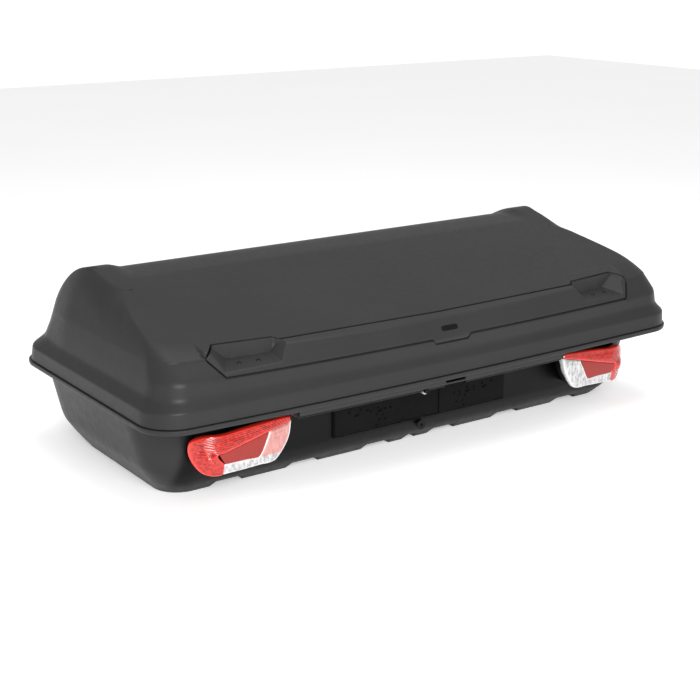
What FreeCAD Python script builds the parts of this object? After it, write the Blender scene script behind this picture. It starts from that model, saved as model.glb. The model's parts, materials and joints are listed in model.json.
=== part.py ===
"""Cargo box for a tow-bar platform, as a parametric FreeCAD document.

Frame: +X to the right and -Y to the front when the lamps are faced, +Z up. The origin lies under
the middle of the box, on the plane of the rib undersides. Lengths are in millimetres.
"""
import FreeCAD
import Part
import math
import os
import re

import Sketcher

from FreeCAD import Placement, Rotation, Vector

# ---------------------------------------------------------------- driving dimensions

SIZES = {
    # rim of the tub: the widest outline of the box
    "rim_half_width": 725,
    "rim_front": 346,
    "rim_bow": 14,
    "rim_rear": 349,
    "rim_corner": 90,
    "rim_level": 199,
    "bead_height": 6,
    "bead_reach": 8,
    "wall": 4,
    "land_width": 24,
    # tub below the rim, as insets from the rim outline
    "flange_level": 170,
    "flange_inset": 12,
    "ledge_level": 166,
    "ledge_side_inset": 19,
    "front_wall_inset": 106,
    "foot_level": 65,
    "foot_side_inset": 50,
    "foot_rear_inset": 9,
    "turn_level": 30,
    "turn_side_inset": 74,
    "turn_front_inset": 124,
    "turn_rear_inset": 30,
    "base_side_inset": 94,
    "base_front_inset": 156,
    "base_rear_inset": 72,
    "base_corner": 60,
    # floor ribs, as the two edges of each rib measured from the middle
    "rib_height": 13,
    "notch_half_width": 18,
    "inner_rib_edge": 56,
    "middle_rib_start": 136,
    "middle_rib_edge": 253,
    "outer_rib_start": 338,
    "outer_rib_edge": 450,
    "end_rib_start": 530,
    # lid, as insets from the rim outline
    "parting_gap": 2,
    "lip_inset": 5,
    "lip_height": 20,
    "neck_level": 243,
    "neck_side_inset": 25,
    "neck_front_inset": 26,
    "neck_bow": 24,
    "neck_rear_inset": 5,
    "brow_level": 284,
    "brow_side_inset": 30,
    "brow_front_inset": 24,
    "brow_bow": 27,
    "brow_rear_inset": 5,
    "crease_level": 319,
    "crease_side_inset": 35,
    "crease_front_inset": 57,
    "crease_bow": 38,
    "crease_rear_inset": 6,
    "shoulder_rise": 130,
    "shoulder_side_inset": 81,
    "lid_corner": 55,
    "ridge_level": 433.5,
    "ridge_depth": 118,
    "top_slope": 0.25,
    "saddle_half_width": 551,
    "saddle_ramp": 42,
    "saddle_drop": 8,
    "saddle_front": 50,
    # front trim strip and its grip pockets
    "strip_half_length": 562,
    "strip_tip": 26,
    "strip_thickness": 4,
    "strip_groove": 1.6,
    "strip_low_bow": 16,
    "strip_top_rise": 70,
    "pocket_start": 409,
    "pocket_floor_rise": 30,
    "pocket_wall": 3,
    "badge_width": 46,
    "badge_height": 13,
    "badge_thickness": 2.4,
    "tongue_half_width": 54,
    # hinges
    "hinge_spacing": 450,
    "hinge_width": 56,
    "knuckle_radius": 5,
    "knuckle_gap": 0.5,
    "pin_radius": 2.5,
    "pin_clearance": 0.05,
    "leaf_thickness": 2.5,
    "leaf_height": 42,
    "hinge_setback": 6,
    # gas struts
    "strut_inset": 76,
    "strut_foot_depth": -150,
    "strut_foot_level": 95,
    "strut_head_depth": 125,
    "strut_head_level": 260,
    "strut_tube_radius": 9,
    "strut_tube_wall": 1.5,
    "strut_tube_length": 256,
    "strut_rod_radius": 4,
    "strut_eye_radius": 8,
    "strut_eye_thickness": 6,
    "strut_clearance": 0.1,
    "open_pivot_gap": 0.6,
    "bracket_screw_spacing": 56,
    # latch
    "lock_offset": -72,
    "lock_level": 172,
    "barrel_radius": 6,
    "barrel_clearance": 0.1,
    "housing_radius": 9,
    "crank_radius": 12.7,
    "crank_pin_radius": 2,
    "crank_slack": 0.7,
    "rod_depth": -300,
    "rod_level": 186,
    "rod_radius": 4,
    "rod_half_length": 470,
    "guide_spacing": 250,
    "bolt_position": 430,
    "bolt_length": 21,
    "bolt_level": 214,
    "bolt_gap": 1.5,
    "lever_left": -16,
    "lever_right": 40,
    "lever_level": 178,
    "lever_thickness": 2.4,
    "lever_reach": 24,
    "lever_room": 8,
    "cover_left": -400,
    "cover_right": 330,
    "cover_drop": 7,
    "cover_height": 19,
    "cover_thickness": 6,
    # number plate
    "carrier_half_width": 246,
    "carrier_bottom": 65,
    "carrier_top": 150,
    "carrier_thickness": 6,
    "pad_width": 160,
    "pad_left_start": -244,
    "pad_pitch": 293,
    "pad_thickness": 2.5,
    "plate_screw_radius": 2.5,
    # lamps
    "lamp_inner": 390,
    "lamp_outer": 620,
    "lamp_bottom": 66,
    "lamp_top": 164,
    "lamp_face": 300,
    "lamp_wall": 2.5,
    "lamp_depth": 40,
    "lens_rim": 15,
    # mounting
    "mount_half_width": 394,
    "mount_half_depth": 110,
    "mount_hole_radius": 4.5,
    "mount_plate_width": 96,
    "mount_plate_length": 300,
    "mount_plate_thickness": 3,
}

doc = FreeCAD.newDocument("CargoBox")
sheet = doc.addObject("Spreadsheet::Sheet", "Sizes")
for row, (alias, number) in enumerate(SIZES.items(), start=1):
    sheet.set(f"A{row}", alias)
    sheet.set(f"B{row}", str(number))
    sheet.setAlias(f"B{row}", alias)
doc.recompute()


class Cells:
    """Reads each size from the sheet as an attribute."""

    def __getattr__(self, alias):
        return float(sheet.get(alias))


size = Cells()
NODES = {}


def formula(text):
    """Turns bare size names into references to the sheet."""
    return re.sub(r"[a-z]+(?:_[a-z]+)+|\bwall\b", lambda word: "Sizes." + word.group(0), str(text))


def bind(item, **formulas):
    """Binds properties to the sheet; a double underscore stands for a dot in the path."""
    for path, text in formulas.items():
        item.setExpression(path.replace("__", "."), formula(text))
    return item


def node(label, item):
    """Names a finished sub-part; its label is the name of its file."""
    item.Label = label
    NODES[label] = item
    return item


# ---------------------------------------------------------------- primitives bound to the sheet


def box(name, low, high):
    """A box between two corners, each corner three formulas."""
    item = doc.addObject("Part::Box", name)
    bind(item, Placement__Base__x=low[0], Placement__Base__y=low[1], Placement__Base__z=low[2])
    bind(item, Length=f"({high[0]}) - ({low[0]})")
    bind(item, Width=f"({high[1]}) - ({low[1]})")
    bind(item, Height=f"({high[2]}) - ({low[2]})")
    return item


AXES = {
    "x": Rotation(Vector(0, 0, 1), Vector(1, 0, 0)),
    "y": Rotation(Vector(0, 0, 1), Vector(0, 1, 0)),
    "z": Rotation(),
}


def rod(name, axis, start, radius, length):
    """A cylinder along a row axis from its start point."""
    item = doc.addObject("Part::Cylinder", name)
    item.Placement = Placement(Vector(), AXES[axis])
    bind(item, Placement__Base__x=start[0], Placement__Base__y=start[1], Placement__Base__z=start[2])
    return bind(item, Radius=radius, Height=length)


def fuse(name, items):
    """One solid from several touching items."""
    item = doc.addObject("Part::MultiFuse", name)
    item.Shapes = items
    return item


def group(name, items):
    """Separate equal solids kept in one node."""
    item = doc.addObject("Part::Compound", name)
    item.Links = items
    return item


def cut(name, base, tool):
    """Document object: base less tool."""
    item = doc.addObject("Part::Cut", name)
    item.Base = base
    item.Tool = tool
    return item


def common(name, base, tool):
    """Document object: what base and tool share."""
    item = doc.addObject("Part::Common", name)
    item.Base = base
    item.Tool = tool
    return item


def feature(name, shape):
    """A shape worked out with Part's own functions, from the sheet's sizes."""
    item = doc.addObject("Part::Feature", name)
    item.Shape = shape
    return item


# ---------------------------------------------------------------- outlines and lofted volumes


def outline(level, half_width, front, bow, rear, corner):
    """A closed plan outline: straight ends and rear, a bowed front, four rounded corners."""
    turn = corner * (1 - math.sqrt(0.5))
    side_x = half_width - corner

    def corner_arc(start, sign_x, y_edge, sign_y, end):
        middle = Vector(sign_x * (half_width - turn), y_edge - sign_y * turn, level)
        return Part.Arc(start, middle, end).toShape()

    front_right = Vector(side_x, -front, level)
    front_left = Vector(-side_x, -front, level)
    right_front = Vector(half_width, -front + corner, level)
    left_front = Vector(-half_width, -front + corner, level)
    right_rear = Vector(half_width, rear - corner, level)
    left_rear = Vector(-half_width, rear - corner, level)
    rear_right = Vector(side_x, rear, level)
    rear_left = Vector(-side_x, rear, level)
    if bow:
        front_edge = Part.Arc(front_left, Vector(0, -front - bow, level), front_right)
    else:
        front_edge = Part.LineSegment(front_left, front_right)
    edges = [
        front_edge.toShape(),
        corner_arc(front_right, 1, -front, -1, right_front),
        Part.LineSegment(right_front, right_rear).toShape(),
        corner_arc(right_rear, 1, rear, 1, rear_right),
        Part.LineSegment(rear_right, rear_left).toShape(),
        corner_arc(rear_left, -1, rear, 1, left_rear),
        Part.LineSegment(left_rear, left_front).toShape(),
        corner_arc(left_front, -1, -front, -1, front_left),
    ]
    return Part.Wire(edges)


def rim_outline(level, side, front, bow, rear, corner):
    """A plan outline given by its insets from the rim."""
    return outline(level, size.rim_half_width - side, size.rim_front - front, bow, size.rim_rear - rear, corner)


def stack(wires):
    """A solid of straight-sided bands through level outlines."""
    return Part.makeLoft(wires, True, True)


def tub_volume(inset, lift):
    """The tub below its bead, grown inwards by an inset and upwards by a lift."""
    radius = size.rim_corner - inset
    levels = [
        (size.flange_level + lift, size.flange_inset, size.flange_inset, size.rim_bow, size.flange_inset, radius),
        (size.ledge_level + lift, size.ledge_side_inset, size.front_wall_inset, 0, size.flange_inset, radius),
        (size.foot_level, size.foot_side_inset, size.front_wall_inset, 0, size.foot_rear_inset, radius),
        (
            size.turn_level + lift / 2,
            size.turn_side_inset,
            size.turn_front_inset,
            0,
            size.turn_rear_inset,
            size.base_corner + 8 - inset,
        ),
        (lift, size.base_side_inset, size.base_front_inset, 0, size.base_rear_inset, size.base_corner - inset),
    ]
    wires = [rim_outline(z, a + inset, f + inset, b, r + inset, c) for z, a, f, b, r, c in levels]
    return wires


def tub_outer():
    """The tub's outer volume, with the bead that stands out at its top."""
    reach = size.bead_reach
    bead_foot = size.rim_level - size.bead_height
    bead = stack([
        rim_outline(size.rim_level, 0, 0, size.rim_bow, 0, size.rim_corner),
        rim_outline(bead_foot, 0, 0, size.rim_bow, 0, size.rim_corner),
    ])
    neck = rim_outline(size.rim_level, reach, reach, size.rim_bow, reach, size.rim_corner - reach)
    return bead.fuse(stack([neck] + tub_volume(0, 0)))


def tub_cavity():
    """The room inside the tub, open at the top, with the seal's land left standing round it."""
    inset = size.land_width
    land = rim_outline(size.rim_level + 1, inset, inset, size.rim_bow, inset, size.rim_corner - inset)
    shelf = rim_outline(
        size.flange_level + size.wall, inset, inset, size.rim_bow, inset, size.rim_corner - inset
    )
    lower = tub_volume(size.wall, size.wall + size.rib_height)
    lower[0] = shelf
    lower[1] = rim_outline(
        size.ledge_level + size.wall, inset, size.front_wall_inset + size.wall, 0, inset, size.rim_corner - inset
    )
    return stack([land] + lower)


def lid_volume(inset):
    """The lid's volume, grown inwards by an inset on every side."""
    base = size.rim_level + size.parting_gap
    lip = size.lip_inset + inset
    lip_corner = size.rim_corner - lip
    bands = stack([
        rim_outline(base - (1 if inset else 0), lip, lip, size.rim_bow, lip, lip_corner),
        rim_outline(base + size.lip_height, lip, lip, size.rim_bow, lip, lip_corner),
        rim_outline(
            size.neck_level,
            size.neck_side_inset + inset,
            size.neck_front_inset + inset,
            size.neck_bow,
            size.neck_rear_inset + inset,
            size.lid_corner + 14 - inset,
        ),
        rim_outline(
            size.brow_level,
            size.brow_side_inset + inset,
            size.brow_front_inset + inset,
            size.brow_bow,
            size.brow_rear_inset + inset,
            size.lid_corner + 8 - inset,
        ),
        crease_outline(size.crease_level, size.crease_side_inset, inset),
        crease_outline(size.crease_level + size.shoulder_rise, size.shoulder_side_inset, inset),
    ])
    return bands.common(side_profile(inset)).cut(saddle(inset))


def crease_outline(level, side_inset, inset):
    """The lid's outline from the crease upwards, where only the ends lean in."""
    return rim_outline(
        level,
        side_inset + inset,
        size.crease_front_inset + inset,
        size.crease_bow,
        size.crease_rear_inset + inset,
        size.lid_corner - inset,
    )


def top_height(depth):
    """Height of the lid's sloping top at a depth."""
    return size.ridge_level + size.top_slope * (depth - size.ridge_depth)


def side_profile(inset):
    """The lid seen from its end: a sloping top, a ridge, and a curved back, pushed through in X."""
    reach = size.rim_half_width + 50
    front = -size.rim_front - 60
    rear = size.rim_rear - size.crease_rear_inset - inset
    floor = size.rim_level - 20
    back_top = size.ridge_level - 6.5 - inset
    back_foot = size.brow_level - 14
    points = {
        "front_low": Vector(-reach, front, floor),
        "front_high": Vector(-reach, front, top_height(front) - inset),
        "ridge": Vector(-reach, size.ridge_depth, size.ridge_level - inset),
        "ridge_turn": Vector(-reach, size.ridge_depth + 18, size.ridge_level - 0.5 - inset),
        "back_top": Vector(-reach, size.ridge_depth + 32, back_top),
        "back_middle": Vector(-reach, size.ridge_depth + 127 - inset / 2, size.ridge_level - 53.5 - inset),
        "back_foot": Vector(-reach, rear, back_foot),
        "rear_low": Vector(-reach, rear + 40, back_foot - 30),
        "rear_floor": Vector(-reach, rear + 40, floor),
    }
    edges = [
        Part.LineSegment(points["front_low"], points["front_high"]).toShape(),
        Part.LineSegment(points["front_high"], points["ridge"]).toShape(),
        Part.Arc(points["ridge"], points["ridge_turn"], points["back_top"]).toShape(),
        Part.Arc(points["back_top"], points["back_middle"], points["back_foot"]).toShape(),
        Part.LineSegment(points["back_foot"], points["rear_low"]).toShape(),
        Part.LineSegment(points["rear_low"], points["rear_floor"]).toShape(),
        Part.LineSegment(points["rear_floor"], points["front_low"]).toShape(),
    ]
    face = Part.Face(Part.Wire(edges))
    return face.extrude(Vector(2 * reach, 0, 0))


def saddle(inset):
    """The shallow drop between the two ears of the lid's ridge, with a ramp up to each ear."""
    front, low, back = size.saddle_front, size.ridge_depth + 15, size.ridge_depth + 75
    floor = [
        (front, top_height(front), 0),
        (low, size.ridge_level + 2, size.saddle_drop),
        (back, size.ridge_level - 10, 2 * size.saddle_drop),
    ]
    ceiling = size.ridge_level + 40
    ramp_end = size.saddle_half_width + size.saddle_ramp
    wires = []
    for x, sunk in ((-ramp_end, 0), (-size.saddle_half_width, 1), (size.saddle_half_width, 1), (ramp_end, 0)):
        points = [Vector(x, depth, level - sunk * drop - inset) for depth, level, drop in floor]
        points += [Vector(x, back, ceiling), Vector(x, front, ceiling)]
        wires.append(Part.makePolygon(points + points[:1]))
    return stack(wires)


# ---------------------------------------------------------------- tub


def slab(x_low, x_high, y_low, y_high, z_low, z_high):
    """A plain block between two corners, for cutting the lofted shells."""
    return Part.makeBox(x_high - x_low, y_high - y_low, z_high - z_low, Vector(x_low, y_low, z_low))


def bar(start, direction, radius, length):
    """A plain round bar, for bores in the lofted shells."""
    return Part.makeCylinder(radius, length, start, direction)


def rib_spans():
    """Each floor rib's two edges across the box, from the left end to the right end."""
    right = [
        (size.notch_half_width, size.inner_rib_edge),
        (size.middle_rib_start, size.middle_rib_edge),
        (size.outer_rib_start, size.outer_rib_edge),
        (size.end_rib_start, size.rim_half_width - size.base_side_inset),
    ]
    return [(-high, -low) for low, high in reversed(right)] + right


def floor_channels():
    """The channels between the ribs, cut up into the floor from below."""
    spans = rib_spans()
    reach = size.rim_front + size.rim_rear
    gaps = [(left[1], right[0]) for left, right in zip(spans, spans[1:])]
    return [slab(low, high, -reach, reach, -1, size.rib_height) for low, high in gaps]


def rib_hollows():
    """The room inside each rib, so that the floor keeps one wall thickness."""
    wall = size.wall
    front = -(size.rim_front - size.base_front_inset) + 12
    rear = size.rim_rear - size.base_rear_inset - 12
    hollows = []
    for low, high in rib_spans():
        margin = wall if abs(low) < size.end_rib_start and abs(high) < size.end_rib_start else wall + 16
        left = low + (margin if low < 0 else wall)
        right = high - (margin if high > 0 else wall)
        hollows.append(slab(left, right, front, rear, wall, wall + size.rib_height + 1))
    return hollows


def strut_plane():
    """Distance from the middle of the box to each strut."""
    return size.rim_half_width - size.strut_inset


def strut_foot(side):
    """Centre of a strut's lower pivot."""
    return Vector(side * strut_plane(), size.strut_foot_depth, size.strut_foot_level)


def strut_head(side):
    """Centre of a strut's upper pivot with the lid shut."""
    return Vector(side * strut_plane(), size.strut_head_depth, size.strut_head_level)


def latch_openings():
    """Ways through the front flange for the lock and the release lever."""
    front = -size.rim_front - size.rim_bow - 30
    lock = bar(Vector(size.lock_offset, front, size.lock_level), Vector(0, 1, 0), size.housing_radius, 100)
    lever = slab(
        size.lever_left - 2,
        size.lever_right + 2,
        front,
        -size.rim_front + size.land_width + 1,
        size.lever_level - size.lever_room,
        size.lever_level + 3.5,
    )
    pin = bar(lever_axis() - Vector(LEVER_PIN_SEAT, 0, 0), Vector(1, 0, 0), LEVER_PIN_RADIUS, lever_pin_length())
    return [lock, lever, pin]


LEVER_PIN_RADIUS = 1.5
LEVER_PIN_SEAT = 6


def lever_axis():
    """Start of the release lever's axis, at its left end."""
    return Vector(size.lever_left, -size.rim_front + size.land_width - 4, size.lever_level)


def lever_pin_length():
    """Length of the release lever's pin, with a seat at each end."""
    return size.lever_right - size.lever_left + 2 * LEVER_PIN_SEAT


def gland_place():
    """Centre of the cable gland, on the slope under the recess."""
    return Vector(0, -(size.rim_front - size.turn_front_inset) - 14, (size.turn_level + size.foot_level) / 2)


GLAND_RADIUS = 8
GLAND_STANDOFF = 3
GLAND_LENGTH = 32
GLAND_COLLAR = 4.5
CORD_RADIUS = 3.5
DRAIN_RADIUS = 5
DRAIN_PLACES = [Vector(x, y, 0) for x in (-490, 490) for y in (-110, 180)]


def mount_places():
    """Centres of the four platform bolts."""
    return [
        Vector(side * size.mount_half_width, depth * size.mount_half_depth, 0)
        for side in (-1, 1)
        for depth in (-1, 1)
    ]


tub_room = tub_cavity()
tub_shape = tub_outer().cut(tub_room)
tub_cuts = floor_channels() + rib_hollows() + latch_openings()
tub_cuts.append(bar(gland_place(), Vector(0, 1, 0), GLAND_RADIUS, 60))
tub_cuts += [bar(p - Vector(0, 0, 1), Vector(0, 0, 1), size.mount_hole_radius, 30) for p in mount_places()]
tub_cuts += [bar(p - Vector(0, 0, 1), Vector(0, 0, 1), DRAIN_RADIUS, 30) for p in DRAIN_PLACES]
tub_shell = node("tub_shell", feature("TubShell", tub_shape.cut(tub_cuts)))

# a soft seal on the flange's land, under the lid's lip
SEAL_INSET = 4
SEAL_WIDTH = 9


def ring(inset_from_rim, width, level, height):
    """An upright ring that follows the rim."""
    solids = []
    for step in (0, width):
        inset = inset_from_rim + step
        face = Part.Face(rim_outline(level, inset, inset, size.rim_bow, inset, size.rim_corner - inset))
        solids.append(face.extrude(Vector(0, 0, height)))
    return solids[0].cut(solids[1])


seal_shape = ring(size.bead_reach + SEAL_INSET, SEAL_WIDTH, size.rim_level, size.parting_gap - 0.4)
node("rim_seal", feature("RimSeal", seal_shape))

# the moulded cover in front of the latch, following the bowed flange a small gap away
COVER_GAP = 0.3
cover_low = size.flange_level - size.cover_drop
cover_outer = Part.Face(
    rim_outline(cover_low, 5, size.flange_inset - size.cover_thickness, size.rim_bow, 5, size.rim_corner)
).extrude(Vector(0, 0, size.cover_height))
cover_seat = [
    (cover_low - 1, size.flange_inset - COVER_GAP),
    (size.flange_level, size.flange_inset - COVER_GAP),
    (size.rim_level, size.bead_reach - COVER_GAP),
]
cover_inner = stack([rim_outline(z, i, i, size.rim_bow, i, size.rim_corner - i) for z, i in cover_seat])
cover_zone = slab(
    size.cover_left, size.cover_right, -size.rim_front - 60, -size.rim_front + 90, cover_low, size.rim_level
)
cover_shape = cover_outer.cut(cover_inner).common(cover_zone)
cover_slot = slab(
    size.lever_left - 2, size.lever_right + 2, -size.rim_front - 60, 0, size.lever_level - 1.5, size.rim_level
)
lock_way = bar(
    Vector(size.lock_offset, -size.rim_front - 60, size.lock_level), Vector(0, 1, 0), size.barrel_radius + 0.4, 90
)
node("latch_cover", feature("LatchCover", cover_shape.cut([cover_slot, lock_way])))


# ---------------------------------------------------------------- sketched plates


def plate(name, label, role, outline_points, offset, thickness, holes=(), cuts=(), flip=False):
    """A body of one padded outline with holes and inner openings pocketed through it.

    outline_points are corners in the plane's two row axes; offset and thickness are formulas;
    holes are (x, y, radius formula); cuts are further closed outlines.
    """
    body = doc.addObject("PartDesign::Body", name)
    profile = plane_sketch(body, role, name + "Profile", offset)
    add_loop(profile, outline_points)
    pad = body.newObject("PartDesign::Pad", name + "Pad")
    pad.Profile = profile
    pad.Reversed = flip
    bind(pad, Length=thickness)
    profile.Visibility = False
    if holes or cuts:
        openings = plane_sketch(body, role, name + "Openings", offset)
        for loop in cuts:
            add_loop(openings, loop)
        for x, y, radius in holes:
            add_hole(openings, x, y, radius)
        doc.recompute()
        before = pad.Shape.Volume
        pocket = body.newObject("PartDesign::Pocket", name + "Pocket")
        pocket.Profile = openings
        pocket.Midplane = True
        bind(pocket, Length=f"4 * ({thickness})")
        doc.recompute()
        if not pocket.Shape.Volume < before:
            raise ValueError(f"{name}: the openings cut nothing")
    return node(label, body) if label else body


def plane_sketch(body, role, name, offset):
    """A sketch on one of the body's own origin planes, moved along the plane's normal."""
    sketch = body.newObject("Sketcher::SketchObject", name)
    support = next(item for item in body.Origin.OriginFeatures if item.Role == role)
    sketch.AttachmentSupport = [(support, "")]
    sketch.MapMode = "FlatFace"
    bind(sketch, AttachmentOffset__Base__z=offset)
    return sketch


def add_loop(sketch, points):
    """A closed loop of straight lines whose ends are tied together."""
    first = sketch.GeometryCount
    count = len(points)
    for i, point in enumerate(points):
        follower = points[(i + 1) % count]
        sketch.addGeometry(Part.LineSegment(Vector(*point, 0), Vector(*follower, 0)), False)
    for i in range(count):
        tie = Sketcher.Constraint("Coincident", first + i, 2, first + (i + 1) % count, 1)
        sketch.addConstraint(tie)


def add_hole(sketch, x, y, radius):
    """A circle whose radius follows the sheet."""
    circle = sketch.addGeometry(Part.Circle(Vector(x, y, 0), Vector(0, 0, 1), 1.0), False)
    sketch.addConstraint(Sketcher.Constraint("Radius", circle, 1.0))
    sketch.setExpression(f"Constraints[{sketch.ConstraintCount - 1}]", formula(radius))


def rectangle(x_low, y_low, x_high, y_high):
    """Corners of a rectangle, counter-clockwise."""
    return [(x_low, y_low), (x_high, y_low), (x_high, y_high), (x_low, y_high)]


# ---------------------------------------------------------------- number plate carrier

front_wall = size.rim_front - size.front_wall_inset
carrier_half = size.carrier_half_width
low, high = size.carrier_bottom, size.carrier_top
carrier_outline = [
    (-carrier_half, low + 4),
    (-carrier_half + 4, low),
    (carrier_half - 4, low),
    (carrier_half, low + 4),
    (carrier_half, high),
    (-carrier_half, high),
]
HOLE_CLUSTER = [(24, 52), (50, 58), (62, 50), (74, 54), (92, 44), (92, 56), (106, 62), (120, 66), (96, 30), (112, 32)]
PLATE_SCREW_SPOT = (134, 62)


def pad_start(index):
    """Left edge of a number-plate pad."""
    return size.pad_left_start + index * size.pad_pitch


def cluster(index):
    """Centres of one pad's plate holes in the carrier's plane."""
    return [(pad_start(index) + x, low + y) for x, y in HOLE_CLUSTER]


screw_spots = [(pad_start(i) + PLATE_SCREW_SPOT[0], low + PLATE_SCREW_SPOT[1]) for i in (0, 1)]
carrier_holes = [(x, y, "plate_screw_radius") for x, y in cluster(0) + cluster(1) + screw_spots]
plate(
    "PlateCarrier",
    "plate_carrier",
    "XZ_Plane",
    carrier_outline,
    "rim_front - front_wall_inset",
    "carrier_thickness",
    holes=carrier_holes,
)
for index, side_name in enumerate(("left", "right")):
    start = pad_start(index)
    plate(
        f"PlatePad{index}",
        f"plate_pad_{side_name}",
        "XZ_Plane",
        rectangle(start, low + 6, start + size.pad_width, high - 2),
        "rim_front - front_wall_inset + carrier_thickness",
        "pad_thickness",
        holes=[(x, y, "plate_screw_radius") for x, y in cluster(index) + [screw_spots[index]]],
    )
carrier_screws = []
for i, (x, z) in enumerate([(-30, high - 12), (30, high - 12), (-30, low + 10), (30, low + 10)]):
    head = rod(
        f"CarrierScrew{i}",
        "y",
        (x, "front_wall_inset - rim_front - carrier_thickness - 2.4", z),
        4,
        2.4,
    )
    carrier_screws.append(head)
node("carrier_screws", group("CarrierScrews", carrier_screws))

# ---------------------------------------------------------------- lamps

LAMP_OUTLINE = [(390, 157), (439, 164), (497, 160), (553, 151), (592, 147), (613, 136), (620, 112)]
LAMP_OUTLINE += [(617, 92), (606, 75), (592, 67), (554, 66), (424, 71), (405, 86), (395, 118)]
CLEAR_OUTLINE = [(399, 152), (441, 144), (447, 130), (472, 90), (552, 88), (554, 70), (427, 74), (410, 88), (401, 116)]
RETRO_OUTLINE = [(451, 142), (565, 108), (552, 91), (474, 92), (450, 131)]


def shifted(points, inset=0.0):
    """Lamp corners moved with the lamp's place and pulled in towards its middle."""
    width = (size.lamp_outer - size.lamp_inner) / 230
    height = (size.lamp_top - size.lamp_bottom) / 98
    moved = [(size.lamp_inner + (x - 390) * width, size.lamp_bottom + (z - 66) * height) for x, z in points]
    if not inset:
        return moved
    ring = Part.makePolygon([Vector(x, 0, z) for x, z in moved + moved[:1]])
    inner = ring.makeOffset2D(-inset)
    return [(p.X, p.Z) for p in inner.OrderedVertexes]


def lamp(side, side_name):
    """One rear lamp: bracket, housing, reflector, bulbs, two lenses and a retro reflector."""

    def mirrored(points):
        return [(side * x, z) for x, z in points]

    name = side_name.capitalize()
    outer = mirrored(shifted(LAMP_OUTLINE))
    inner = mirrored(shifted(LAMP_OUTLINE, size.lamp_wall))
    clear = mirrored(shifted(CLEAR_OUTLINE))
    retro = mirrored(shifted(RETRO_OUTLINE))
    label = f"lamp_{side_name}_"
    back = "lamp_face - lamp_depth"
    bracket_x = sorted((side * (size.lamp_inner + 40), side * (size.lamp_outer - 30)))
    bracket_low, bracket_high = size.lamp_bottom + 12, size.ledge_level - 12
    windows = [
        rectangle(x, bracket_low + 10, x + 34, bracket_high - 10)
        for x in (bracket_x[0] + 14 + 46 * step for step in range(3))
    ]
    plate(
        name + "LampBracket",
        label + "bracket",
        "XZ_Plane",
        rectangle(bracket_x[0], bracket_low, bracket_x[1], bracket_high),
        "rim_front - front_wall_inset",
        f"{back} - (rim_front - front_wall_inset)",
        cuts=windows,
    )
    tray = doc.addObject("PartDesign::Body", name + "LampHousing")
    shape = plane_sketch(tray, "XZ_Plane", name + "HousingProfile", back)
    add_loop(shape, outer)
    pad = tray.newObject("PartDesign::Pad", name + "HousingPad")
    pad.Profile = shape
    bind(pad, Length="lamp_depth - lens_rim")
    hollow = plane_sketch(tray, "XZ_Plane", name + "HousingHollow", f"{back} + lamp_wall")
    add_loop(hollow, inner)
    doc.recompute()
    pocket = tray.newObject("PartDesign::Pocket", name + "HousingPocket")
    pocket.Profile = hollow
    pocket.Reversed = True
    bind(pocket, Length="lamp_depth")
    doc.recompute()
    if not pocket.Shape.Volume < 0.5 * pad.Shape.Volume:
        raise ValueError(f"{name}: the lamp housing is not hollow")
    node(label + "housing", tray)
    bulbs = [(side * x, z) for x, z in shifted([(425, 120), (500, 110), (588, 112)])]
    plate(
        name + "Reflector",
        label + "reflector",
        "XZ_Plane",
        inner,
        f"{back} + 6",
        "lamp_wall",
        holes=[(x, z, "strut_rod_radius") for x, z in bulbs],
    )
    bulb_items = []
    for i, (x, z) in enumerate(bulbs):
        base = rod(f"{name}BulbBase{i}", "y", (x, f"-({back}) - 18", z), 3.9, 15)
        globe = doc.addObject("Part::Sphere", f"{name}BulbGlobe{i}")
        bind(globe, Radius=6, Placement__Base__x=x, Placement__Base__y=f"-({back}) - 20", Placement__Base__z=z)
        bulb_items.append(fuse(f"{name}Bulb{i}", [base, globe]))
    node(label + "bulbs", group(name + "Bulbs", bulb_items))
    rim = doc.addObject("PartDesign::Body", name + "RedLens")
    face = plane_sketch(rim, "XZ_Plane", name + "LensProfile", "lamp_face - lens_rim")
    add_loop(face, outer)
    shell = rim.newObject("PartDesign::Pad", name + "LensPad")
    shell.Profile = face
    bind(shell, Length="lens_rim")
    inside = plane_sketch(rim, "XZ_Plane", name + "LensInside", "lamp_face - lamp_wall")
    add_loop(inside, inner)
    doc.recompute()
    hollow = rim.newObject("PartDesign::Pocket", name + "LensHollow")
    hollow.Profile = inside
    bind(hollow, Length="lens_rim")
    windows = plane_sketch(rim, "XZ_Plane", name + "LensWindows", "lamp_face")
    add_loop(windows, clear)
    add_loop(windows, retro)
    doc.recompute()
    opened = rim.newObject("PartDesign::Pocket", name + "LensOpening")
    opened.Profile = windows
    opened.Midplane = True
    bind(opened, Length="4 * lamp_wall")
    doc.recompute()
    if not opened.Shape.Volume < hollow.Shape.Volume < shell.Shape.Volume:
        raise ValueError(f"{name}: the lens is not hollow")
    node(label + "red_lens", rim)
    plate(name + "ClearLens", label + "clear_lens", "XZ_Plane", clear, "lamp_face - lamp_wall", "lamp_wall")
    plate(name + "Retro", label + "retro", "XZ_Plane", retro, "lamp_face - lamp_wall", "lamp_wall")


SIDES = ((-1, "left"), (1, "right"))
for side, side_name in SIDES:
    lamp(side, side_name)


# ---------------------------------------------------------------- lid, trim strip and badge

STRIP_ORIGIN = Vector(0, -(size.rim_front - size.brow_front_inset + size.brow_bow), size.brow_level)
STRIP_UP = Vector(0, 0.76, 0.65)
STRIP_OUT = Vector(0, -0.65, 0.76)


def on_strip(x, up, out=0.0):
    """A point in the strip's slanted plane: along X, up its face, and out of it."""
    return STRIP_ORIGIN + Vector(x, 0, 0) + STRIP_UP * up + STRIP_OUT * out


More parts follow.
